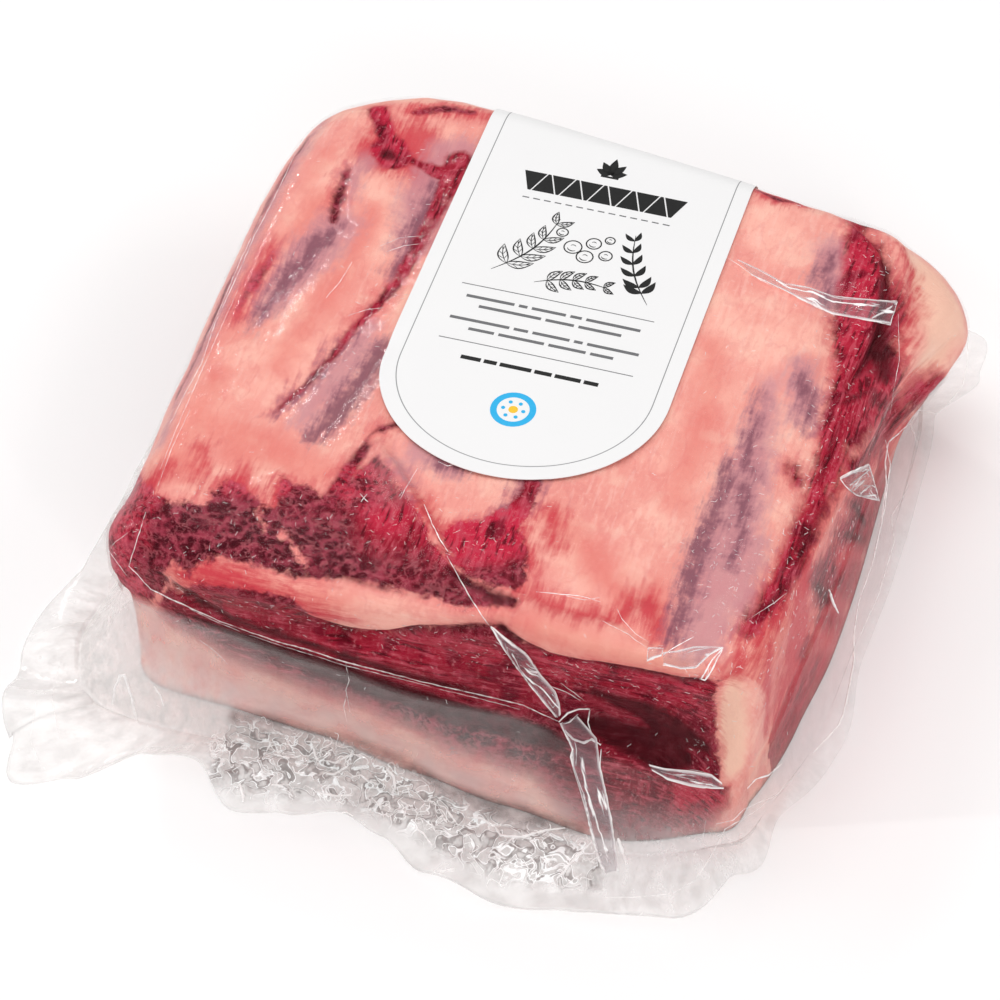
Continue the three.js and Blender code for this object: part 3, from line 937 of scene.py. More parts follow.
def lit_through(tree, look):
    """Ends a film's nodes: light falls through its gloss, hardly dimmed, to what lies under it."""
    surface = add(tree, COATED, {"IOR": FILM_IOR, **look})
    clear = add(tree, "ShaderNodeBsdfTransparent", {"Color": (*[FILM_CLEARNESS] * 3, 1)})
    shadow = add(tree, "ShaderNodeLightPath", out="Is Shadow Ray")
    both = add(tree, "ShaderNodeMixShader", {0: shadow, 1: surface, 2: clear})
    add(tree, OUTPUT, {"Surface": both})


# The film's weak mirror where it clings: its refraction and its greatest share
MIRROR_IOR = 1.17
MIRROR_MOST = 0.14
# Painted light on the crumpled film's ridges, a shaded side and a white highlight: the noise value
# where each lies, half-width, colour, greatest share
RIDGE_HIGHLIGHT_AND_SHADE_LINES = [(0.425, 0.060, "766C6A", 0.62), (0.50, 0.035, "FFFFFF", 1.0)]


def film_material():
    """Clear co-extruded packing film, shrunk tight: a thin gloss; slack, it is milky and greyed by
    painted shade.
    """
    material, tree = new_material("clear_packing_film")
    skin = add(tree, "ShaderNodeUVMap", uv_map="skin")
    haze = add(tree, KEPT, out="Fac", attribute_name="haze")
    crumple = add(tree, KEPT, out="Fac", attribute_name="crumple")
    shade = add(tree, KEPT, out="Fac", attribute_name="shade")
    slow = add(tree, NOISE, {"Vector": skin, "Scale": 1 / (8 * MM), "Detail": 3.0},
               noise_dimensions="2D")
    # Crumpled film lies in winding ridges, 6 mm apart, each with a painted highlight and painted shade
    winding = add(tree, NOISE, {"Vector": skin, "Scale": 1 / (6 * MM), "Detail": 1.5,
                                "Distortion": 0.9}, noise_dimensions="2D")
    strength = add(tree, MATH, {0: crumple, 1: 0.7, 2: 0.22}, operation="MULTIPLY_ADD")
    bump = add(tree, BUMP, {"Height": slow, "Strength": strength, "Distance": 1.5 * MM})
    # Where it clings there is no air under the film, so its mirror is weaker than glass's
    mirror = add(tree, "ShaderNodeFresnel", {"IOR": MIRROR_IOR, "Normal": bump})
    mirror = add(tree, MATH, {0: mirror, 1: MIRROR_MOST}, operation="MINIMUM")
    cloud = add(tree, MATH, {0: slow, 1: 1.2, 2: 0.4}, operation="MULTIPLY_ADD")
    milky = add(tree, MATH, {0: haze, 1: cloud}, operation="MULTIPLY")
    # Painted shade: the film turns grey where its shade attribute says, a little unevenly
    grey = add(tree, MATH, {0: slow, 1: 0.5, 2: shade}, operation="MULTIPLY_ADD")
    grey = add(tree, RANGE, {"Value": grey, "From Min": 0.15, "From Max": 1.15})
    colour = add(tree, MIX, {SHARE: grey, FIRST: linear("F4F0EE"), SECOND: linear("6E6462")},
                 data_type="RGBA")
    for middle, half, code, most in RIDGE_HIGHLIGHT_AND_SHADE_LINES:
        away = add(tree, MATH, {0: winding, 1: middle}, operation="SUBTRACT")
        away = add(tree, MATH, {0: away}, operation="ABSOLUTE")
        near = add(tree, RANGE, {"Value": away, "From Min": half, "From Max": half * 0.3,
                                 "To Max": most}, interpolation_type="SMOOTHSTEP")
        near = add(tree, MATH, {0: near, 1: crumple}, operation="MULTIPLY")
        colour = add(tree, MIX, {SHARE: near, FIRST: colour, SECOND: linear(code)},
                     data_type="RGBA")
        milky = add(tree, MATH, {0: near, 1: 0.35, 2: milky}, operation="MULTIPLY_ADD")
    rest = add(tree, MATH, {0: 1.0, 1: mirror}, operation="SUBTRACT")
    cover = add(tree, MATH, {0: milky, 1: rest, 2: mirror}, operation="MULTIPLY_ADD")
    cover = add(tree, "ShaderNodeClamp", {"Value": cover, "Min": 0.004, "Max": 1.0})
    metallic = add(tree, MATH, {0: mirror, 1: cover}, operation="DIVIDE")
    lit_through(tree, {"Base Color": colour, "Metallic": metallic, "Roughness": 0.09,
                       "Alpha": cover, "Normal": bump})
    return material


def folded_film_material():
    """Film folded double: clear, with long white streaks of painted glare and painted white highlights
    along its edges.
    """
    material, tree = new_material("folded_packing_film")
    along = add(tree, KEPT, out="Fac", attribute_name="along")
    across = add(tree, KEPT, out="Fac", attribute_name="across")
    edge = add(tree, KEPT, out="Fac", attribute_name="edge")
    # Streaks of glare are about 12 mm long and 2 mm wide
    at = add(tree, "ShaderNodeCombineXYZ", {"X": along, "Y": across})
    at = add(tree, "ShaderNodeMapping", {"Vector": at, "Scale": (1 / 12, 1 / 2, 1)})
    glare = add(tree, NOISE, {"Vector": at, "Scale": 1.0, "Detail": 2.0}, noise_dimensions="2D")
    streak = add(tree, RANGE, {"Value": glare, "From Min": 0.57, "From Max": 0.72},
                 interpolation_type="SMOOTHSTEP")
    bright = add(tree, MATH, {0: edge, 1: streak}, operation="MAXIMUM")
    cover = add(tree, RANGE, {"Value": bright, "To Min": 0.13, "To Max": 0.90})
    colour = add(tree, MIX, {SHARE: bright, FIRST: linear("B3A2A8"), SECOND: linear("FFFDFC")},
                 data_type="RGBA")
    lit_through(tree, {"Base Color": colour, "Roughness": 0.12, "Alpha": cover})
    return material


def crease_highlight_material():
    """Creased packing film: a painted white highlight along a fold's ridge, the whiter the wider, and
    glossy.
    """
    material, tree = new_material("crease_highlight_film")
    solid = add(tree, "ShaderNodeTexCoord", out="Object")
    broken = add(tree, NOISE, {"Vector": solid, "Scale": 1 / (4 * MM), "Detail": 3.0})
    broken = add(tree, MATH, {0: broken, 1: 1.6, 2: -0.55}, operation="MULTIPLY_ADD")
    wide = add(tree, KEPT, out="Fac", attribute_name="wide")
    cover = add(tree, MATH, {0: wide, 1: 1.1, 2: broken}, operation="MULTIPLY_ADD")
    cover = add(tree, "ShaderNodeClamp", {"Value": cover, "Min": 0.12, "Max": 0.9})
    lit_through(tree, {"Base Color": linear("FFFBFA"), "Roughness": 0.15, "Alpha": cover})
    return material


def painted_highlight_material():
    """Small white pieces of painted highlight on the film, glints and curled strokes on its crumples,
    glossy.
    """
    material, tree = new_material("painted_highlight_white_film")
    solid = add(tree, "ShaderNodeTexCoord", out="Object")
    broken = add(tree, NOISE, {"Vector": solid, "Scale": 1 / (2.5 * MM), "Detail": 2.0})
    cover = add(tree, RANGE, {"Value": broken, "From Min": 0.35, "From Max": 0.60, "To Min": 0.35,
                              "To Max": 0.95})
    lit_through(tree, {"Base Color": linear("FFFDFC"), "Roughness": 0.12, "Alpha": cover})
    return material


def paper_material():
    """Coated label paper: smooth, white and nearly matt, with a thin grey line printed round it."""
    material, tree = new_material("coated_label_paper")
    solid = add(tree, "ShaderNodeTexCoord", out="Object")
    cloudy = add(tree, NOISE, {"Vector": solid, "Scale": 1 / (40 * MM)})
    colour = add(tree, MIX, {SHARE: cloudy, FIRST: linear("EEEDED"), SECOND: linear("EAE9E9")},
                 data_type="RGBA")
    inset = add(tree, KEPT, out="Fac", attribute_name="inset")
    away = add(tree, MATH, {0: inset, 1: LABEL_LINE_IN}, operation="SUBTRACT")
    away = add(tree, MATH, {0: away}, operation="ABSOLUTE")
    line = add(tree, RANGE, {"Value": away, "From Min": 0.26, "From Max": 0.08},
               interpolation_type="SMOOTHSTEP")
    colour = add(tree, MIX, {SHARE: line, FIRST: colour, SECOND: linear("868688")},
                 data_type="RGBA")
    tooth = add(tree, NOISE, {"Vector": solid, "Scale": 1 / (0.9 * MM)})
    bump = add(tree, BUMP, {"Height": tooth, "Strength": 0.1, "Distance": 0.05 * MM})
    surface = add(tree, COATED, {"Base Color": colour, "Roughness": 0.5, "Specular IOR Level": 0.3,
                                 "Normal": bump})
    add(tree, OUTPUT, {"Surface": surface})
    return material


def ink_material(name, code, faded):
    """Printing ink on coated paper: flat, with a slightly uneven cover."""
    material, tree = new_material(name)
    solid = add(tree, "ShaderNodeTexCoord", out="Object")
    uneven = add(tree, NOISE, {"Vector": solid, "Scale": 1 / (1.6 * MM), "Detail": 3.0})
    thin = add(tree, RANGE, {"Value": uneven, "From Min": 0.45, "From Max": 0.75, "To Max": 0.10})
    colour = add(tree, MIX, {SHARE: thin, FIRST: linear(code), SECOND: linear(faded)},
                 data_type="RGBA")
    surface = add(tree, COATED, {"Base Color": colour, "Roughness": 0.45,
                                 "Specular IOR Level": 0.3})
    add(tree, OUTPUT, {"Surface": surface})
    return material


# Camera, floor and light

def camera_axes():
    turn, down = CAMERA_TURN, CAMERA_DOWN
    level = math.cos(down)
    right = Vector((math.cos(turn), math.sin(turn), 0))
    ahead = Vector((-math.sin(turn) * level, math.cos(turn) * level, -math.sin(down)))
    up = right.cross(ahead)
    roll_cos, roll_sin = math.cos(CAMERA_ROLL), math.sin(CAMERA_ROLL)
    return right * roll_cos + up * roll_sin, up * roll_cos - right * roll_sin, ahead


def make_camera():
    right, up, ahead = camera_axes()
    data = bpy.data.cameras.new("camera")
    data.lens = CAMERA_LENS
    data.sensor_width = SENSOR
    data.clip_start = 0.05
    camera = bpy.data.objects.new("camera", data)
    turned = Matrix((right, up, -ahead)).transposed().to_4x4()
    camera.matrix_world = Matrix.Translation(CAMERA_AT) @ turned
    bpy.context.scene.camera = link(camera)


def make_floor():
    half = 4
    corners = [(-half, -half, 0), (half, -half, 0), (half, half, 0), (-half, half, 0)]
    mesh = new_mesh("floor", corners, [(0, 1, 2, 3)])
    material, tree = new_material("white_studio_floor")
    surface = add(tree, COATED, {"Base Color": linear("FCFBFB"), "Roughness": 0.8,
                                 "Specular IOR Level": 0.1})
    add(tree, OUTPUT, {"Surface": surface})
    floor = placed("floor", mesh, material)
    floor.location.z = -0.0003


# Lights: name, place, width and height in metres, and power in watts; each faces the block
LIGHTS = [
    ("overhead", (-0.15, 0.15, 1.7), 1.4, 1.4, 12.8),
    ("key_left", (-1.25, 0.35, 1.2), 0.6, 0.6, 2.6),
    ("front_fill", (0.6, -1.6, 0.9), 1.0, 1.0, 7.0),
    ("right_fill", (1.5, 0.3, 1.2), 1.0, 1.0, 6.5),
    ("glint_back", (-0.72, 1.0, 1.05), 0.03, 0.30, 1.8),
    ("glint_left", (-1.1, -0.5, 0.9), 0.03, 0.30, 2.0),
    ("glint_front", (0.9, -1.2, 0.9), 0.03, 0.30, 1.6),
]
WORLD_STRENGTH = 0.38


def make_lights():
    for name, at, width, height, power in LIGHTS:
        data = bpy.data.lights.new(name, "AREA")
        data.shape = "RECTANGLE"
        data.size = width
        data.size_y = height
        data.energy = power
        light = link(bpy.data.objects.new(name, data))
        light.location = at
        aim = Vector((0, 0, MIDDLE * MM)) - Vector(at)
        light.rotation_euler = aim.to_track_quat("-Z", "Y").to_euler()
    world = bpy.data.worlds.new("studio")
    world.use_nodes = True
    world.node_tree.nodes.clear()
    back = add(world.node_tree, "ShaderNodeBackground",
               {"Color": linear("FFFFFF"), "Strength": WORLD_STRENGTH})
    add(world.node_tree, "ShaderNodeOutputWorld", {"Surface": back})
    bpy.context.scene.world = world


# The block and its film

def spread_stations(front, right, rest):
    """Stations round the block: so many columns to a station on the front, the right and the rest."""
    return np.concatenate([np.linspace(start, end, (end - start) * columns, endpoint=False)
                           for start, end, columns in ((0, FRONT_ENDS, front),
                                                       (FRONT_ENDS, RIGHT_ENDS, right),
                                                       (RIGHT_ENDS, STATIONS, rest))])


def make_beef(material):
    profile = Profile(spread_stations(36, 26, 17))
    under = [(profile.at(profile.foot - inwards, 0), profile.facing(math.pi)) for inwards in (4, 30)]
    top_rings, shoulder_rings, wall_rings = BEEF_RINGS
    rings, facing = map(np.array, zip(*profile.top(top_rings, shoulder_rings),
                                      *profile.wall(wall_rings, 0), *under))
    skin = unfolded(rings, profile)
    places = pushed(rings)
    free = 1 - under_label(skin)
    lumps = sum(rise * noise(places, swing, seed) for rise, swing, seed in LUMPS) - LUMPS_SINK
    rise, swing, seed = SMALL_LUMPS
    small = rise * noise(places, swing, seed) - SMALL_SINK
    standing = ease(0, 10, rings[..., 2])
    lean = np.minimum(reach_of(skin, LEAN_LINES, LEAN_AREAS), -reach_of(skin, FAT_LINES))
    # The right side's marks come from the photograph's line of sight
    in_photo = pixels_of(places)
    to_camera = np.array(CAMERA_AT.normalized())
    side = facing @ to_camera > SIDE_FACING
    side &= (skin[..., 0] > SIDE_LEFT) & (skin[..., 1] > SIDE_FRONT)
    side_lean = np.minimum(traced(in_photo, SIDE_LEAN_LINES, SIDE_LEAN_AREAS),
                           -traced(in_photo, SIDE_FAT_LINES))
    lean = np.where(side, side_lean + SIDE_LEAN_OUT, lean)
    below_film = profile.leaves - rings[..., 2]
    move = (relief(skin) + lumps * free + small * free * (0.5 + ease(-1, 2, lean))) * standing
    move = move - SLACK_RECESS * ease(0, 6, below_film)
    places = places + facing * move[..., None]
    places[..., 2] = np.maximum(places[..., 2], BEEF_LOWEST)
    top = (*CENTRE, float(top_height(np.array(CENTRE))))
    mesh = ring_mesh("beef", places, top, (*CENTRE, BEEF_LOWEST), skin)
    blur = np.maximum(ease(0, 9, below_film), SIDE_BLUR * side)
    thin = ease(-4, 0, reach_of(skin, LEAN_LINES))
    store(mesh, "lean", lean, (-FAR, -FAR))
    store(mesh, "blur", blur, (0, 1))
    store(mesh, "raggedness", (1 - blur) * (1 - THIN_CRISPNESS * thin), (1, 0))
    store(mesh, "tone", soft_sum(skin, LEAN_TONES, LEAN_TONE), (LEAN_TONE, LEAN_TONE))
    store(mesh, "fibre", soft_sum(skin, FIBRE_AREAS, 0), (0, 0))
    for name, lines, side_lines in MARKS:
        mark = reach_of(skin, lines)
        if side_lines:
            mark = np.maximum(mark, np.where(side, traced(in_photo, side_lines), -FAR))
        # Painted shade also along the meat's lowest few millimetres, where it meets the floor
        if name == "painted_shade":
            mark = np.maximum(mark, (1 - rings[..., 2]) / 2)
        store(mesh, name, mark, (-FAR, -FAR))
    return placed("beef", mesh, material)


# Where the clinging film is milky: (share, line, half-width) on the unfolded skin
HAZE = [
    (0.10, [(-106, 100), (-110, 0), (-110, -60)], 8),
    (0.14, [(-118, -86), (-128, -104)], 9),
    (0.08, [(-28, -50), (-20, -62)], 7),
]
# How milky the slack film is round the block, just under where it leaves the meat and at the foot
SLACK_HAZE_HIGH = [(0, 0.36), (0.6, 0.28), (1.2, 0.20), (2, 0.18), (3, 0.18), (4, 0.16), (4.7, 0.08),
                   (6, 0.04), (7, 0.03), (13, 0.03), (15, 0.10), (20, 0.20), (24, 0.40), (25, 0.48)]
SLACK_HAZE_LOW = [(0, 0.80), (1, 0.66), (2, 0.56), (3, 0.52), (4.2, 0.46), (5, 0.40), (6, 0.34),
                  (7, 0.16), (12, 0.12), (14, 0.20), (20, 0.34), (24, 0.60), (25, 0.76)]
# How grey painted shade makes it there: 1 is darkest
SLACK_SHADE = [(0, 0.0), (1, 0.03), (2, 0.08), (3, 0.12), (4.5, 0.12), (6, 0.12), (7, 0.04),
               (12, 0.04), (20, 0.12), (24, 0.04)]
# The same on the flat rim round the block's foot
FLANGE_HAZE = [(0, 0.42), (2, 0.40), (4, 0.46), (5.5, 0.42), (6.5, 0.24), (8, 0.14), (12, 0.18),
               (14, 0.12), (20, 0.20), (25, 0.40)]
FLANGE_SHADE = [(0, 0.06), (2, 0.16), (4, 0.26), (6, 0.22), (8, 0.10), (14, 0.06), (25, 0.04)]


def make_film(material):
    profile = Profile(spread_stations(46, 30, 16))
    top_rings, shoulder_rings, wall_rings = FILM_RINGS
    body = [*profile.top(top_rings, shoulder_rings), *profile.wall(wall_rings, profile.leaves)]
    tent = [*profile.tent(TENT_RINGS)]
    flange = [*profile.flange(FLANGE_RINGS)]
    below = [(place - (0, 0, FILM_OFF), facing) for place, facing in flange[:-13:-1]]
    below += [(profile.at(out, height), profile.facing(0)) for out, height in (
        (np.maximum(profile.tent_out - 4, profile.foot + 1), 0.4), (profile.foot - 3, 0.0))]
    rings, facing = map(np.array, zip(*body, *tent, *flange, *below))
    last_body, last_tent = len(body), len(body) + len(tent)
    last_flange = last_tent + len(flange)
    skin = unfolded(rings, profile)
    places = np.concatenate([pushed(rings[:last_tent]), rings[last_tent:]])
    # How far each ring belongs to the film that clings, that hangs slack and that lies flat
    ring = np.arange(len(rings))[:, None]
    clinging = ease(last_body + 10, last_body - 2, ring)
    slack = ease(last_body, last_body + 8, ring) * (ring < last_flange)
    lying = ease(last_tent - 2, last_tent + 4, ring)
    free = 1 - under_label(skin)
    bridged = np.maximum(relief(skin), -BRIDGED_DEPTH)
    wrinkle = WRINKLE_RISE * free * np.maximum(noise(places, 6, 11), 0)
    in_photo = pixels_of(places)
    slack_now = (ring > last_body) & (ring < last_flange)
    crumple = ease(-9, 7, area_reach(in_photo, CRUMPLED)) * slack_now
    warp = noise(places, 8, 21)[..., None] * 5 + noise(places, 3.5, 22)[..., None] * 2
    warped = (places + warp) * CRUMPLE_SQUEEZE
    folds = sum(rise * (1 - CRUMPLE_SHARP * np.abs(noise(warped, swing, seed)))
                for rise, swing, seed in CRUMPLES)
    sway = 1.6 * noise(places, 26, 25) + 0.8 * noise(places, 11, 26)
    move = FILM_OFF + clinging * (bridged + wrinkle)
    move = move + slack * (crumple * folds + 0.8 * sway) * (1 - lying)
    places = places + facing * np.where(ring < last_tent, move, 0)[..., None]
    places[..., 2] += slack * lying * (crumple * folds * 0.5 + 0.6 * np.abs(sway))
    places[..., 2] = np.maximum(places[..., 2], 0.05)
    top = (*CENTRE, float(top_height(np.array(CENTRE))) + FILM_OFF)
    mesh = ring_mesh("film", places, top, (*CENTRE, 0.0), skin)
    high, low = around(SLACK_HAZE_HIGH, profile.station), around(SLACK_HAZE_LOW, profile.station)
    down = ease(last_body + 4, last_tent - 2, ring)
    hanging = high + (low - high) * down
    lies = ease(last_tent + 2, last_tent + 12, ring)
    hanging = hanging + (around(FLANGE_HAZE, profile.station) - hanging) * lies
    milky = soft_sum(skin, HAZE, 0.0)
    milky = milky + (hanging - milky) * ease(last_body - 1, last_body + 1, ring)
    milky = np.maximum(milky, CRUMPLE_HAZE * crumple)
    shade = around(SLACK_SHADE, profile.station) * slack
    shade = shade + (around(FLANGE_SHADE, profile.station) - shade) * lies * slack
    shade = shade + (CRUMPLE_SHADE - shade) * crumple
    gloom = ease(-8, 6, line_reach(in_photo, *GLOOM)) * slack_now
    shade = np.maximum(shade, GLOOM_SHADE * gloom)
    milky = np.maximum(milky, GLOOM_HAZE * gloom)
    milky = np.where(ring >= last_flange, UNDER_HAZE, milky)
    store(mesh, "haze", milky, (0, 0))
    store(mesh, "crumple", crumple * slack, (0, 0))
    store(mesh, "shade", shade, (0, 0))
    # Where the pieces of painted highlight are scattered: glints, and curled strokes on the crumples
    store(mesh, "glints", soft_sum(skin, GLINTS, GLINTS_LEAST) * (ring < last_flange), (0, 0))
    store(mesh, "curl_highlights", crumple * (ring < last_flange), (0, 0))
    return placed("film", mesh, material), skin[:last_body]


# Where the slack film is crumpled, and the gap of painted shade along the meat's foot, as photograph
# pixels
CRUMPLED = [(212, 742), (240, 722), (266, 726), (310, 738), (350, 748), (400, 768), (440, 792),
            (480, 812), (530, 828), (590, 842), (604, 862), (600, 890), (560, 888), (500, 880),
            (450, 858), (400, 828), (350, 804), (300, 798), (250, 794), (208, 788)]
GLOOM = ([(236, 716), (262, 719), (310, 730), (350, 740), (400, 760), (440, 786), (480, 804),
          (530, 818), (580, 830)], [6, 5, 4, 4, 5, 7, 10, 11, 6])


def pixels_of(places):
    """Where the photograph shows places that are given in millimetres."""
    right, up, ahead = (np.array(axis) for axis in camera_axes())
    away = places - np.array(CAMERA_AT) / MM
    scale = PIXELS_PER_SLOPE / (away @ ahead)
    return np.stack([PHOTO_SIZE / 2 + away @ right * scale, PHOTO_SIZE / 2 - away @ up * scale], -1)


# Where small glints lie on the film: (share, line, half-width) on the unfolded skin
GLINTS_LEAST = 0.03
GLINTS = [
    (0.30, [(-104, -96), (-60, -92), (-20, -92)], 14),
    (0.55, [(-30, -70), (10, -74)], 9),
    (0.40, [(-90, -128), (20, -124), (90, -124)], 8),
    (0.55, [(88, -20), (88, -90)], 10),
    (0.75, [(98, 96), (104, 40), (108, -10), (106, -70)], 7),
    (0.40, [(-50, 90), (-54, 20), (-60, -30)], 7),
    (0.35, [(-80, 50), (-92, 6)], 5),
    (0.40, [(110, -100), (130, -60), (160, -10)], 14),
    (0.60, [(100, -110), (118, -150)], 8),
]


class Surface:
    """Finds places on the film, on its unfolded skin or along the photograph's lines of sight."""

    def __init__(self, piece, skin):
        mesh = piece.data
        count, columns = skin.shape[:2]
        places, normals = np.empty((2, len(mesh.vertices), 3))
        mesh.vertices.foreach_get("co", places.ravel())
        mesh.vertex_normals.foreach_get("vector", normals.ravel())
        chosen = [*range(count * columns), len(places) - 2]
        self.places = [Vector(place) for place in places[chosen]]
        self.normals = [Vector(normal) for normal in normals[chosen]]
        self.flat = [Vector((*at, 0)) for at in (*skin.reshape(-1, 2), CENTRE)]
        across = np.arange(columns)
        following = (across + 1) % columns
        start = np.arange(count - 1)[:, None] * columns
        corners = [start + across, start + columns + across,
                   start + columns + following, start + following]
        self.triangles = np.concatenate(
            [np.stack([corners[0], corners[1], corners[2]], -1).reshape(-1, 3),
             np.stack([corners[0], corners[2], corners[3]], -1).reshape(-1, 3),
             np.column_stack([np.full(columns, count * columns), across, following])]).tolist()
        self.chart = BVHTree.FromPolygons(self.flat, self.triangles)
        self.shape = BVHTree.FromPolygons([Vector(place) for place in places],
                                          [list(face.vertices) for face in mesh.polygons])

    def on_skin(self, u, v, off):
        """The place `off` millimetres above the film at skin place (u, v)."""
        _, _, index, _ = self.chart.ray_cast(Vector((u, v, 1)), Vector((0, 0, -1)))
        if index is None:
            _, _, index, _ = self.chart.find_nearest(Vector((u, v, 0)))
        a, b, c = self.triangles[index]
        share = poly_3d_calc([self.flat[a], self.flat[b], self.flat[c]], Vector((u, v, 0)))
        place = sum((self.places[i] * s for i, s in zip((a, b, c), share)), Vector())
        facing = sum((self.normals[i] * s for i, s in zip((a, b, c), share)), Vector()).normalized()
        return place + facing * (off * MM)

    def seen(self, x, y, off):
        """The place on the film that the photograph shows at pixel (x, y), and the way it faces."""
        right, up, ahead = camera_axes()
        sight = ahead + (right * (x - PHOTO_SIZE / 2) + up * (PHOTO_SIZE / 2 - y)) / PIXELS_PER_SLOPE
        place, facing, _, _ = self.shape.ray_cast(CAMERA_AT, sight.normalized())
        if place is None:
            return None, None
        return place + facing * (off * MM), facing


# The label and its print

def label_end(u):
    """The skin place, front to back, where the label's rounded end is."""
    share = (u - MIDDLE_U) / HALF_U
    return LABEL_END_START - LABEL_END_LENGTH * math.sqrt(max(0, 1 - share**2))


def make_label(surface, material):
    across = [MIDDLE_U - HALF_U * math.cos(math.pi * i / LABEL_COLUMNS)
              for i in range(LABEL_COLUMNS + 1)]
    grid = [(u, label_end(u) + (LABEL_LAST - label_end(u)) * row / LABEL_ROWS)
            for u in across for row in range(LABEL_ROWS + 1)]
    outline = [(LABEL_LEFT, LABEL_LAST + 20), *((u, label_end(u)) for u in across),
               (LABEL_RIGHT, LABEL_LAST + 20)]
    upper, lower = ([surface.on_skin(*at, off) for at in grid]
                    for off in (LABEL_OFF + LABEL_THICK, LABEL_OFF))
    mesh = sheet_mesh("label", upper, lower, LABEL_ROWS + 1)
    keep(mesh, "inset", np.tile(-line_reach(np.array(grid), outline), 2))
    closed_outwards(mesh)
    return placed("paper_label", mesh, material)


# Print shapes are strips: pairs of skin places, left and right of a line

def bar(left, right, middle, height, step=6):
    count = max(1, round((right - left) / step))
    return [((left + (right - left) * i / count, middle - height / 2),
             (left + (right - left) * i / count, middle + height / 2)) for i in range(count + 1)]


def stroke(points, width, taper=0.25):
    """A pen line through points, thinner towards its ends."""
    pairs = []
    for i, (x, y) in enumerate(points):
        before, after = points[max(0, i - 1)], points[min(len(points) - 1, i + 1)]
        length = math.hypot(after[0] - before[0], after[1] - before[1])
        share = i / (len(points) - 1)
        half = width / 2 * (taper + (1 - taper) * math.sin(math.pi * share))
        side_x = (after[1] - before[1]) / length * half
        side_y = -(after[0] - before[0]) / length * half
        pairs.append(((x + side_x, y + side_y), (x - side_x, y - side_y)))
    return pairs


def arc(middle, radius, start, end, count=14):
    """Points on an arc, its angles in degrees."""
    angles = [math.radians(start + (end - start) * i / count) for i in range(count + 1)]
    return [(middle[0] + radius * math.cos(a), middle[1] + radius * math.sin(a)) for a in angles]


def circle(middle, radius, width, count):
    inner = arc(middle, radius - width / 2, 0, 360, count)
    outer = arc(middle, radius + width / 2, 0, 360, count)
    return list(zip(outer, inner))


def disc(middle, radius, count=12):
    angles = [math.pi * (i + 0.001) / (count + 0.002) for i in range(count + 1)]
    return [((middle[0] - radius * math.cos(a), middle[1] - radius * math.sin(a)),
             (middle[0] - radius * math.cos(a), middle[1] + radius * math.sin(a))) for a in angles]


def leaf_sides(base, angle, length, breadth, bend=0.12, count=9):
    """The two edges and the midrib of a leaf that grows from base at an angle in degrees."""
    turn = math.radians(angle)
    ahead, side = (math.cos(turn), math.sin(turn)), (-math.sin(turn), math.cos(turn))
    edges = ([], [], [])
    for i in range(count + 1):
        share = i / count
        half = breadth / 2 * math.sin(math.pi * share**0.8)
        shift = bend * length * math.sin(math.pi * share)
        for edge, across in zip(edges, (shift + half, shift - half, shift)):
            edge.append((base[0] + ahead[0] * length * share + side[0] * across,
                         base[1] + ahead[1] * length * share + side[1] * across))
    return edges


def solid_leaf(base, angle, length, breadth, bend=0.12):
    left, right, _ = leaf_sides(base, angle, length, breadth, bend)
    return list(zip(right, left))


def drawn_leaf(base, angle, length, breadth, bend=0.12):
    """A leaf in pen lines: its two edges, its midrib and a few side veins."""
    left, right, rib = leaf_sides(base, angle, length, breadth, bend)
    veins = [stroke([rib[i], ((rib[i][0] + edge[i + 2][0]) / 2, (rib[i][1] + edge[i + 2][1]) / 2),
                     edge[i + 2]], 0.22) for i in (2, 4, 6) for edge in (left, right)]
    return [stroke(left, 0.5), stroke(right, 0.5), stroke(rib[:-1], 0.35), *veins]


def sprig(base, angle, length, bend, pairs, leaf, drawn):
    """A stem with leaves in pairs, solid or in pen lines."""
    turn = math.radians(angle)
    stem = []
    for i in range(13):
        share = i / 12
        swing = bend * length * math.sin(math.pi * share)
        stem.append((base[0] + math.cos(turn) * length * share - math.sin(turn) * swing,
                     base[1] + math.sin(turn) * length * share + math.cos(turn) * swing))
    shapes = [stroke(stem, 0.6)]
    for i in range(pairs):
        at = stem[2 + i * 9 // max(1, pairs - 1)]
        size = leaf * (1 - 0.4 * i / pairs)
        for side in (-1, 1):
            pose = (at, angle + side * (48 - 3 * i), size, size * 0.36, 0.1 * side)
            shapes += drawn_leaf(*pose) if drawn else [solid_leaf(*pose)]
    return shapes


def emblem_shapes():
    """A fan of five leaves on a short bar, over a band of upright and hanging wedges."""
    shapes = [solid_leaf((MIDDLE_U, 98.4), 90 + turn, 8.6 - abs(turn) / 26, 3.3, 0.0)
              for turn in (-72, -36, 0, 36, 72)]
    shapes.append(bar(MIDDLE_U - 3.2, MIDDLE_U + 3.2, 97.2, 0.9))
    wedges = 11
    wide = 56 / wedges
    for i in range(wedges):
        middle = MIDDLE_U - 28 + wide * (i + 0.5)
        low, high = (83.5, 92.8) if i % 2 else (92.8, 83.5)
        shapes.append([((middle - wide * 0.80, low), (middle + wide * 0.80, low)),
                       ((middle - 0.5, high), (middle + 0.5, high))])
    return shapes


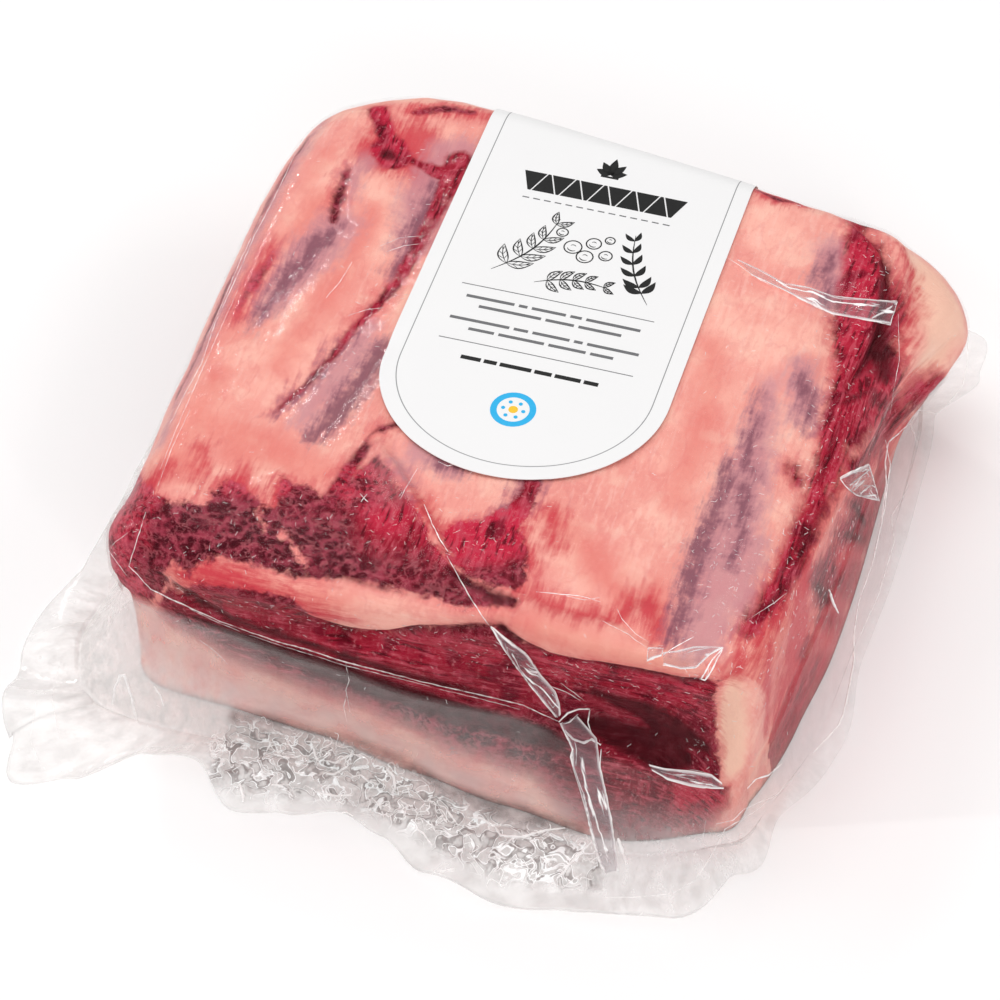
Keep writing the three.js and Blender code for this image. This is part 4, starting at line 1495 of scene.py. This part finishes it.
def drawing_shapes():
    """Kitchen herbs and peppercorns in pen lines."""
    shapes = sprig((-22, 42), 62, 34, -0.10, 5, 9.5, True)
    shapes += sprig((34, 40), 112, 34, 0.08, 6, 7.5, False)
    shapes += sprig((-6, 40), 8, 26, 0.10, 5, 7.0, True)
    for x, y, radius in ((2, 60, 3.1), (8.5, 63.5, 2.6), (7.2, 56.5, 2.9), (14, 58.8, 2.3),
                         (-3.5, 66, 2.0), (13.5, 66.5, 1.7)):
        shapes.append(circle((x, y), radius, 0.45, 20))
        shapes.append(stroke(arc((x, y), radius * 0.62, 200, 310, 8), 0.4))
        shapes.append(stroke(arc((x, y), radius * 0.35, 30, 150, 6), 0.3))
    return shapes


def dashes(middle, height, lengths, gap=1.7):
    """A broken line, centred on the label."""
    at = MIDDLE_U - (sum(lengths) + gap * (len(lengths) - 1)) / 2
    shapes = []
    for length in lengths:
        shapes.append(bar(at, at + length, middle, height))
        at += length + gap
    return shapes


BADGE = (MIDDLE_U, -19)
# Each piece of print: its ink, two tones of it, and its shapes
PRINT = {
    "print_black": ("black_printing_ink", "141414", "3A3A3A", [
        *emblem_shapes(), *drawing_shapes(),
        *dashes(-0.5, 1.7, [7, 4.5, 11, 6, 9, 5], 1.1)]),
    "print_grey": ("grey_printing_ink", "6B6B6D", "9A9A9C", [
        bar(MIDDLE_U - 34, MIDDLE_U + 34, 33.0, 0.32), bar(MIDDLE_U - 34, MIDDLE_U + 34, 6.6, 0.32),
        *dashes(27.6, 1.25, [17, 3, 12, 4, 19], 1.6), *dashes(23.6, 1.25, [22, 10, 15], 1.6),
        *dashes(16.6, 1.25, [21, 5, 13, 3, 18], 1.6), *dashes(12.6, 1.25, [9, 16, 13, 8], 1.6),
        *dashes(79.6, 0.5, [2.4] * 14, 1.5)]),
    "print_blue": ("sky_blue_printing_ink", "25AEE4", "6CC8EA", [
        circle(BADGE, 6.6, 2.2, 36), *(disc(at, 0.7, 8) for at in arc(BADGE, 3.5, 0, 300, 5))]),
    "print_gold": ("golden_printing_ink", "F2C230", "F6D468", [disc(BADGE, 1.6)]),
}


def make_print(surface, name, shapes, material):
    """Every strip as a thin closed plate that follows the label."""
    low = LABEL_OFF + LABEL_THICK
    points, faces = [], []
    for pairs in shapes:
        start = len(points)
        for pair in pairs:
            for u, v in pair:
                points.append(surface.on_skin(u, v, low + INK_THICK))
                points.append(surface.on_skin(u, v, low - INK_THICK))
        count = len(pairs)
        for i in range(count - 1):
            a, b = start + 4 * i, start + 4 * i + 4
            faces += [(a, b, b + 2, a + 2), (a + 1, a + 3, b + 3, b + 1),
                      (a, a + 1, b + 1, b), (a + 2, b + 2, b + 3, a + 3)]
        if pairs[0] != pairs[-1]:
            end = start + 4 * (count - 1)
            faces += [(start, start + 2, start + 3, start + 1), (end, end + 1, end + 3, end + 2)]
    mesh = new_mesh(name, points, faces)
    closed_outwards(mesh)
    return placed(name, mesh, material)


# Folds and creases of the film, as pixels of the photograph

FOLDS = {
    "fold_across_seam": (1.6, [(491, 628), (512, 660), (535, 691), (548, 706), (557, 717)],
                         [(492, 626), (512, 643), (527, 654), (540, 673), (556, 691), (560, 703),
                          (561, 714)]),
    "fold_down_front": (1.6, [(560, 723), (572, 749), (573, 768), (580, 790), (589, 822), (597, 856),
                              (604, 874)],
                        [(578, 716), (597, 738), (600, 766), (606, 790), (611, 816), (615, 842),
                         (619, 872)]),
    "fold_at_right_top": (1.2, [(738, 260), (760, 270), (784, 283), (810, 288), (832, 296), (862, 299),
                                (896, 302)],
                          [(751, 275), (784, 291), (808, 303), (832, 314), (850, 318), (872, 321),
                           (890, 324)]),
    "fold_at_corner": (1.2, [(663, 653), (678, 651), (694, 647), (708, 647), (723, 648)],
                       [(664, 664), (681, 669), (696, 668), (709, 656), (722, 649)]),
    "fold_knot": (1.4, [(648, 648), (656, 648), (664, 649)], [(647, 661), (655, 658), (662, 656)]),
    "fold_at_right": (1.5, [(840, 479), (850, 473), (860, 468), (868, 464)],
                      [(850, 492), (858, 496), (868, 499), (878, 501)]),
    "fold_at_foot": (1.2, [(649, 764), (665, 768), (690, 770), (712, 774), (722, 782)],
                     [(652, 771), (668, 780), (690, 786), (712, 789), (724, 789)]),
}

# White lines of painted highlight along the film's creases, folds and seam: width, and photograph
# pixels
CREASES = [
    (0.30, [(146, 512), (139, 534), (129, 566)]),
    (0.26, [(109, 550), (122, 569), (127, 575)]),
    (0.20, [(109, 549), (118, 540), (128, 533)]),
    (0.26, [(115, 570), (109, 582), (108, 600), (115, 608)]),
    (0.45, [(129, 566), (140, 577), (151, 589), (178, 602), (220, 621), (237, 627)]),
    (0.42, [(237, 627), (273, 640), (307, 649), (345, 662), (378, 670), (420, 681)]),
    (0.24, [(250, 635), (280, 645), (316, 656), (347, 666), (390, 676), (430, 686)]),
    (0.42, [(420, 681), (482, 695), (523, 705), (560, 722)]),
    (0.22, [(440, 689), (482, 699), (520, 709)]),
    (0.22, [(189, 608), (213, 620), (240, 631)]),
    (0.26, [(346, 663), (349, 680), (346, 690), (350, 712)]),
    (0.22, [(347, 692), (344, 706), (347, 722)]),
    (0.36, [(447, 556), (464, 587), (478, 610), (491, 628)]),
    (0.62, [(491, 628), (512, 660), (535, 691), (556, 717)]),
    (0.36, [(491, 626), (512, 643), (527, 654), (540, 673), (551, 686)]),
    (0.30, [(551, 686), (566, 692), (580, 700)]),
    (0.26, [(561, 683), (572, 691), (584, 700)]),
    (0.70, [(559, 722), (568, 713), (579, 709), (590, 709)]),
    (0.45, [(562, 724), (570, 722), (578, 714)]),
    (0.50, [(590, 710), (588, 722), (592, 734)]),
    (1.00, [(565, 730), (573, 739), (584, 743), (592, 739), (601, 745)]),
    (0.40, [(548, 700), (553, 708), (558, 700), (552, 694)]),
    (0.70, [(560, 723), (573, 749), (571, 757), (577, 777), (584, 794)]),
    (1.10, [(584, 794), (590, 824), (599, 861), (605, 874)]),
    (0.60, [(601, 749), (600, 766), (605, 790), (611, 816), (614, 842), (618, 872)]),
    (1.70, [(618, 838), (622, 850), (626, 864)]),
    (1.20, [(494, 826), (501, 836), (524, 837), (546, 830), (565, 828)]),
    (0.90, [(556, 881), (572, 862), (591, 842)]),
    (0.45, [(448, 552), (440, 540), (432, 524), (424, 505)]),
    (1.30, [(113, 704), (115, 688), (120, 676), (125, 675), (131, 694), (137, 722)]),
    (0.90, [(154, 686), (160, 694), (164, 705)]),
    (0.34, [(648, 648), (663, 649), (661, 656), (647, 661), (648, 648)]),
    (0.45, [(663, 655), (679, 645), (694, 637)]),
    (0.50, [(663, 665), (681, 668), (696, 667), (709, 655), (723, 648)]),
    (0.55, [(723, 648), (712, 660), (701, 679), (705, 680), (713, 668), (722, 650)]),
    (0.22, [(678, 652), (694, 648), (722, 648)]),
    (0.22, [(617, 609), (622, 619), (635, 634), (648, 642)]),
    (0.22, [(602, 621), (627, 634), (648, 649)]),
    (0.24, [(649, 764), (655, 770), (681, 777), (712, 783), (720, 788)]),
    (0.22, [(690, 769), (712, 774)]),
    (0.60, [(747, 788), (755, 779), (768, 775), (781, 764)]),
    (0.30, [(716, 824), (733, 820), (744, 809), (777, 794), (800, 772)]),
    (0.34, [(603, 898), (640, 897), (673, 894), (694, 881), (707, 863), (725, 829), (755, 811),
            (777, 794)]),
    (0.22, [(690, 862), (702, 842), (706, 820)]),
    (0.55, [(885, 440), (890, 465), (884, 509), (873, 560), (858, 603)]),
    (0.70, [(858, 603), (853, 639), (854, 659), (850, 682), (843, 715), (838, 726), (812, 754)]),
    (0.40, [(909, 486), (891, 516), (894, 542), (879, 593), (858, 639)]),
    (0.60, [(840, 478), (852, 471), (868, 464), (874, 482), (879, 501)]),
    (0.60, [(840, 479), (846, 487), (856, 495), (868, 498)]),
    (0.80, [(850, 485), (870, 469)]),
    (0.80, [(854, 490), (864, 480)]),
    (0.80, [(860, 493), (870, 486)]),
    (0.80, [(864, 496), (876, 495)]),
    (0.20, [(746, 621), (774, 603), (787, 593)]),
    (0.90, [(829, 590), (833, 603), (838, 613)]),
    (0.42, [(737, 260), (760, 271), (784, 284), (810, 288), (832, 297), (840, 299), (868, 300),
            (897, 301)]),
    (0.50, [(751, 275), (784, 290), (808, 303), (832, 314), (860, 319), (873, 321), (890, 325),
            (897, 302)]),
    (0.24, [(724, 256), (737, 264), (758, 279), (775, 288)]),
    (0.20, [(898, 314), (899, 360), (893, 392), (890, 414)]),
    (0.80, [(872, 318), (884, 312), (892, 306)]),
    (0.34, [(968, 332), (967, 364), (962, 386), (940, 414), (918, 410), (910, 423), (918, 446)]),
    (0.60, [(910, 423), (888, 442), (885, 461), (886, 483), (881, 518)]),
    (0.24, [(302, 140), (287, 172), (272, 203), (254, 237), (241, 268), (228, 296), (215, 324),
            (202, 363), (185, 394), (170, 424)]),
    (0.20, [(262, 216), (240, 262), (224, 300), (208, 336)]),
    (0.20, [(238, 290), (220, 330), (196, 384), (176, 430), (160, 470)]),
    (0.20, [(190, 410), (172, 448), (158, 486)]),
    (0.28, [(352, 262), (340, 282), (326, 298)]),
    (0.20, [(380, 246), (400, 238), (424, 236)]),
    (0.20, [(386, 252), (404, 246), (420, 244)]),
    (0.20, [(348, 316), (366, 310), (384, 308)]),
    (0.34, [(360, 494), (368, 502)]),
    (0.34, [(367, 494), (361, 502)]),
    (0.30, [(418, 468), (408, 484), (400, 500)]),
    (0.24, [(438, 462), (448, 466), (459, 463)]),
    (0.20, [(566, 596), (584, 600), (600, 598)]),
    (0.34, [(536, 592), (556, 594), (580, 596), (600, 602)]),
    (0.20, [(200, 640), (214, 650), (228, 664)]),
    (0.22, [(20, 640), (60, 626), (104, 616)]),
    (0.20, [(36, 700), (30, 740), (44, 776)]),
    (0.20, [(60, 660), (52, 700), (60, 740)]),
    # Ridges of the crumpled film along the front's foot, their white a painted highlight
    (0.70, [(265, 732), (279, 733), (288, 737)]),
    (0.80, [(270, 737), (270, 745), (266, 753)]),
    (0.80, [(273, 754), (288, 758), (301, 756)]),
    (0.70, [(306, 742), (320, 742)]),
    (1.00, [(313, 745), (315, 756), (318, 761)]),
    (0.80, [(292, 766), (295, 773), (305, 774)]),
    (1.00, [(327, 774), (335, 774), (348, 766)]),
    (0.80, [(324, 760), (335, 763), (344, 758), (353, 754), (363, 758)]),
    (0.80, [(352, 777), (361, 775), (368, 781), (379, 784)]),
    (1.10, [(386, 768), (394, 777), (395, 787), (392, 793)]),
    (0.90, [(271, 785), (289, 785)]),
    (0.90, [(315, 792), (335, 796), (353, 796)]),
    (0.60, [(325, 816), (335, 812), (347, 813), (353, 816)]),
    (1.10, [(240, 784), (243, 796), (243, 802)]),
    (1.20, [(236, 739), (244, 741)]),
    (0.80, [(420, 809), (431, 797), (441, 798)]),
    (0.70, [(441, 816), (447, 823)]),
    (0.80, [(434, 804), (445, 807), (451, 816), (458, 825)]),
    (0.80, [(468, 818), (482, 818), (494, 826)]),
    (0.70, [(463, 837), (472, 834)]),
    (0.60, [(563, 888), (581, 874)]),
    (0.80, [(441, 871), (454, 870)]),
    (0.80, [(496, 857), (504, 863)]),
    (0.80, [(400, 800), (408, 806), (404, 816)]),
    (0.80, [(372, 798), (380, 806), (384, 818)]),
    (0.80, [(412, 826), (424, 834), (432, 846)]),
]
SIGHT_STEP = 3.0


def sight_line(surface, pixels, off):
    """Places on the film along a line of photograph pixels."""
    found = []
    for (x, y), (end_x, end_y) in zip(pixels, pixels[1:]):
        count = max(1, round(math.hypot(end_x - x, end_y - y) / SIGHT_STEP))
        for i in range(count):
            found.append(surface.seen(x + (end_x - x) * i / count, y + (end_y - y) * i / count, off))
    found.append(surface.seen(*pixels[-1], off))
    return [place for place, _ in found if place is not None]


def even_points(line, count):
    """The same line of pixels as `count` points, evenly apart."""
    line = np.array(line, float)
    run = np.concatenate([[0], np.cumsum(np.linalg.norm(np.diff(line, axis=0), axis=1))])
    at = np.linspace(0, run[-1], count)
    return np.column_stack([np.interp(at, run, line[:, 0]), np.interp(at, run, line[:, 1])])


def make_fold(surface, name, lift, left, right, material):
    """A fold of slack film that stands off the rest: a crumpled sheet between two lines."""
    length = np.linalg.norm(np.diff(np.array(left, float), axis=0), axis=1).sum()
    along, wide = max(8, round(length / FOLD_STEP)), FOLD_ACROSS + 1
    seen = [surface.seen(*(start + (end - start) * j / FOLD_ACROSS), FOLD_OFF)
            for start, end in zip(even_points(left, along), even_points(right, along))
            for j in range(wide)]
    sheet, facings = map(np.array, zip(*seen))
    sheet = sheet / MM
    j = np.tile(np.arange(wide), along) / FOLD_ACROSS
    i = np.repeat(np.arange(along), wide) / (along - 1)
    swell = np.sin(math.pi * j) ** 0.6 * np.sin(math.pi * np.clip(i, 0.04, 0.96)) ** 0.4
    uneven = 0.55 + 0.5 * noise(sheet, 6, 31) + 0.25 * noise(sheet, 2.4, 32)
    sheet = sheet + facings * (FOLD_LIFT + lift * swell * uneven)[:, None]
    mesh = sheet_mesh(name, (sheet + facings * FOLD_THICK) * MM, sheet * MM, wide)
    mesh.shade_smooth()
    rows = sheet.reshape(along, wide, 3)
    width = np.linalg.norm(rows[:, -1] - rows[:, 0], axis=1).repeat(wide)
    run = np.concatenate([[0], np.cumsum(np.linalg.norm(np.diff(rows[:, 0], axis=0), axis=1))])
    to_edge = np.minimum(j, 1 - j) * width
    for key, value in (("along", run.repeat(wide)), ("across", j * width),
                       ("edge", ease(*FOLD_EDGE, to_edge))):
        keep(mesh, key, np.tile(value, 2))
    closed_outwards(mesh)
    return placed(name, mesh, material)


def new_tree(name, sizes):
    """A geometry tree with one named input for each size."""
    tree = bpy.data.node_groups.new(name, "GeometryNodeTree")
    tree.interface.new_socket(name="Geometry", in_out="INPUT", socket_type="NodeSocketGeometry")
    for size, kind in sizes.items():
        tree.interface.new_socket(name=size, in_out="INPUT", socket_type=kind)
    tree.interface.new_socket(name="Geometry", in_out="OUTPUT", socket_type="NodeSocketGeometry")
    return tree, tree.nodes.new("NodeGroupInput").outputs


def finish_tree(tree, geometry, material):
    real = add(tree, "GeometryNodeRealizeInstances", {"Geometry": geometry})
    smooth = add(tree, "GeometryNodeSetShadeSmooth", {"Geometry": real})
    done = add(tree, "GeometryNodeSetMaterial", {"Geometry": smooth, "Material": material})
    add(tree, "NodeGroupOutput", {0: done})
    return tree


def grown(name, source, tree, sizes):
    """The piece that a geometry tree makes from another."""
    modifier = source.modifiers.new(name, "NODES")
    modifier.node_group = tree
    for item in tree.interface.items_tree:
        if item.in_out == "INPUT" and item.name in sizes:
            modifier[item.identifier] = sizes[item.name]
    shape = source.evaluated_get(bpy.context.evaluated_depsgraph_get())
    mesh = bpy.data.meshes.new_from_object(shape)
    mesh.name = name
    source.modifiers.remove(modifier)
    return placed(name, mesh)


def crease_tree(material):
    """Follows each line with a thin rounded ridge, as wide as the line's points say."""
    tree, given = new_tree("film_creases", {"Ridge Radius": "NodeSocketFloat",
                                            "Waver": "NodeSocketFloat"})
    curve = add(tree, "GeometryNodeMeshToCurve", {"Mesh": given["Geometry"]})
    swing = add(tree, NOISE, {"Scale": 1 / (3 * MM), "Detail": 1.0}, out="Color")
    swing = add(tree, VECTOR, {0: swing, 1: (0.5, 0.5, 0.5)}, operation="SUBTRACT")
    swing = add(tree, VECTOR, {0: swing, "Scale": given["Waver"]}, operation="SCALE")
    curve = add(tree, "GeometryNodeSetPosition", {"Geometry": curve, "Offset": swing})
    wide = add(tree, "GeometryNodeInputNamedAttribute", {"Name": "wide"}, data_type="FLOAT")
    section = add(tree, "GeometryNodeCurvePrimitiveCircle",
                  {"Resolution": 6, "Radius": given["Ridge Radius"]})
    ridge = add(tree, "GeometryNodeCurveToMesh", {"Curve": curve, "Profile Curve": section,
                                                  "Scale": wide, "Fill Caps": True})
    return finish_tree(tree, ridge, material)


def make_creases(surface, material):
    chance = np.random.default_rng(7)
    points, edges, wide = [], [], []
    for width, pixels in CREASES:
        line = sight_line(surface, pixels, RIDGE_OFF)
        start = len(points)
        for i in range(len(line)):
            share = min(0.96, max(0.04, i / max(1, len(line) - 1)))
            swell = RIDGE_ENDS + (1 - RIDGE_ENDS) * math.sin(math.pi * share) ** 0.5
            wide.append(width * swell * chance.uniform(*RIDGE_UNEVEN))
        points += line
        edges += [(start + i, start + i + 1) for i in range(len(line) - 1)]
    mesh = new_mesh("crease_lines", points, [], edges)
    keep(mesh, "wide", wide)
    lines = placed("crease_lines", mesh)
    piece = grown("film_creases", lines, crease_tree(material),
                  {"Ridge Radius": RIDGE_RADIUS * MM, "Waver": RIDGE_WAVER * MM})
    bpy.data.objects.remove(lines)
    return piece


def highlight_tree(material, where, section_sides, steps):
    """Scatters short bent white pieces of painted highlight over the film, as thickly as one of its
    attributes says.
    """
    tree, given = new_tree("highlights_by_" + where, {
        "Most Per Square Metre": "NodeSocketFloat", "Length": "NodeSocketFloat",
        "Thickness": "NodeSocketFloat", "Bend": "NodeSocketFloat", "Lift": "NodeSocketFloat",
        "Seed": "NodeSocketInt"})
    share = add(tree, "GeometryNodeInputNamedAttribute", {"Name": where}, data_type="FLOAT")
    density = add(tree, MATH, {0: share, 1: given["Most Per Square Metre"]}, operation="MULTIPLY")
    spots = add(tree, "GeometryNodeDistributePointsOnFaces",
                {"Mesh": given["Geometry"], "Density": density, "Seed": given["Seed"]})
    lifted = add(tree, VECTOR, {0: spots.node.outputs["Normal"], "Scale": given["Lift"]},
                 operation="SCALE")
    spots_on = add(tree, "GeometryNodeSetPosition", {"Geometry": spots, "Offset": lifted})
    bend = add(tree, "ShaderNodeCombineXYZ", {"Y": given["Bend"]})
    counter = add(tree, VECTOR, {0: bend, 1: (-0.2, -1, 0)}, operation="MULTIPLY")
    shift = add(tree, VECTOR, {0: counter, 1: (0.17, 0, 0)}, operation="ADD")
    before = add(tree, VECTOR, {0: bend, 1: (-0.17, 0, 0)}, operation="ADD")
    curl = add(tree, "GeometryNodeCurvePrimitiveBezierSegment",
               {"Resolution": steps, "Start": (-0.5, 0, 0), "Start Handle": before,
                "End Handle": shift, "End": (0.5, 0, 0)})
    section = add(tree, "GeometryNodeCurvePrimitiveCircle",
                  {"Resolution": section_sides, "Radius": given["Thickness"]})
    along = add(tree, "GeometryNodeSplineParameter", out="Factor")
    taper = add(tree, MATH, {0: along, 1: 2.6, 2: 0.27}, operation="MULTIPLY_ADD")
    taper = add(tree, MATH, {0: taper}, operation="SINE")
    wrinkle = add(tree, "GeometryNodeCurveToMesh", {"Curve": curl, "Profile Curve": section,
                                                    "Scale": taper, "Fill Caps": True})
    turn = add(tree, "FunctionNodeRandomValue", {3: 2 * math.pi, "Seed": given["Seed"]},
               data_type="FLOAT")
    turned = add(tree, "FunctionNodeAxisAngleToRotation", {"Axis": (0, 0, 1), "Angle": turn})
    lie = add(tree, "FunctionNodeRotateRotation",
              {"Rotation": spots.node.outputs["Rotation"], "Rotate By": turned},
              rotation_space="LOCAL")
    later = add(tree, MATH, {0: given["Seed"], 1: 1.0}, operation="ADD")
    size = add(tree, "FunctionNodeRandomValue", {2: 0.35, 3: 1.0, "Seed": later}, data_type="FLOAT")
    size = add(tree, MATH, {0: size, 1: 1.5}, operation="POWER")
    size = add(tree, MATH, {0: size, 1: given["Length"]}, operation="MULTIPLY")
    wrinkles = add(tree, "GeometryNodeInstanceOnPoints",
                   {"Points": spots_on, "Instance": wrinkle, "Rotation": lie, "Scale": size})
    return finish_tree(tree, wrinkles, material)


# Small pieces of painted highlight: the attribute that spreads them, the sides and steps of each, and
# their sizes
PAINTED_HIGHLIGHTS = {
    "film_glints": ("glints", 4, 4, {
        "Most Per Square Metre": 150000.0, "Length": 1.7 * MM, "Thickness": 0.17, "Bend": 0.3,
        "Lift": 0.05 * MM, "Seed": 5}),
    "film_curl_highlights": ("curl_highlights", 5, 8, {
        "Most Per Square Metre": 45000.0, "Length": 7.0 * MM, "Thickness": 0.10, "Bend": 0.7,
        "Lift": 0.5 * MM, "Seed": 9}),
}


def make_all():
    beef = make_beef(beef_material())
    white, folded = painted_highlight_material(), folded_film_material()
    film, skin = make_film(film_material())
    surface = Surface(film, skin)
    wraps = [beef, film, make_creases(surface, crease_highlight_material())]
    for name, (where, sides, steps, sizes) in PAINTED_HIGHLIGHTS.items():
        wraps.append(grown(name, film, highlight_tree(white, where, sides, steps), sizes))
    for name, (lift, left, right) in FOLDS.items():
        wraps.append(make_fold(surface, name, lift, left, right, folded))
    labels = [make_label(surface, paper_material())]
    for name, (ink, code, faded, shapes) in PRINT.items():
        labels.append(make_print(surface, name, shapes, ink_material(ink, code, faded)))
    return wraps, labels


make_camera()
make_floor()
make_lights()
bpy.context.scene.view_settings.view_transform = "Standard"

wraps, labels = make_all()
for pieces, node in ((wraps, "vacuum_bag"), (labels, "label")):
    for piece in pieces:
        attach(piece, "root")
        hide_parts(node)
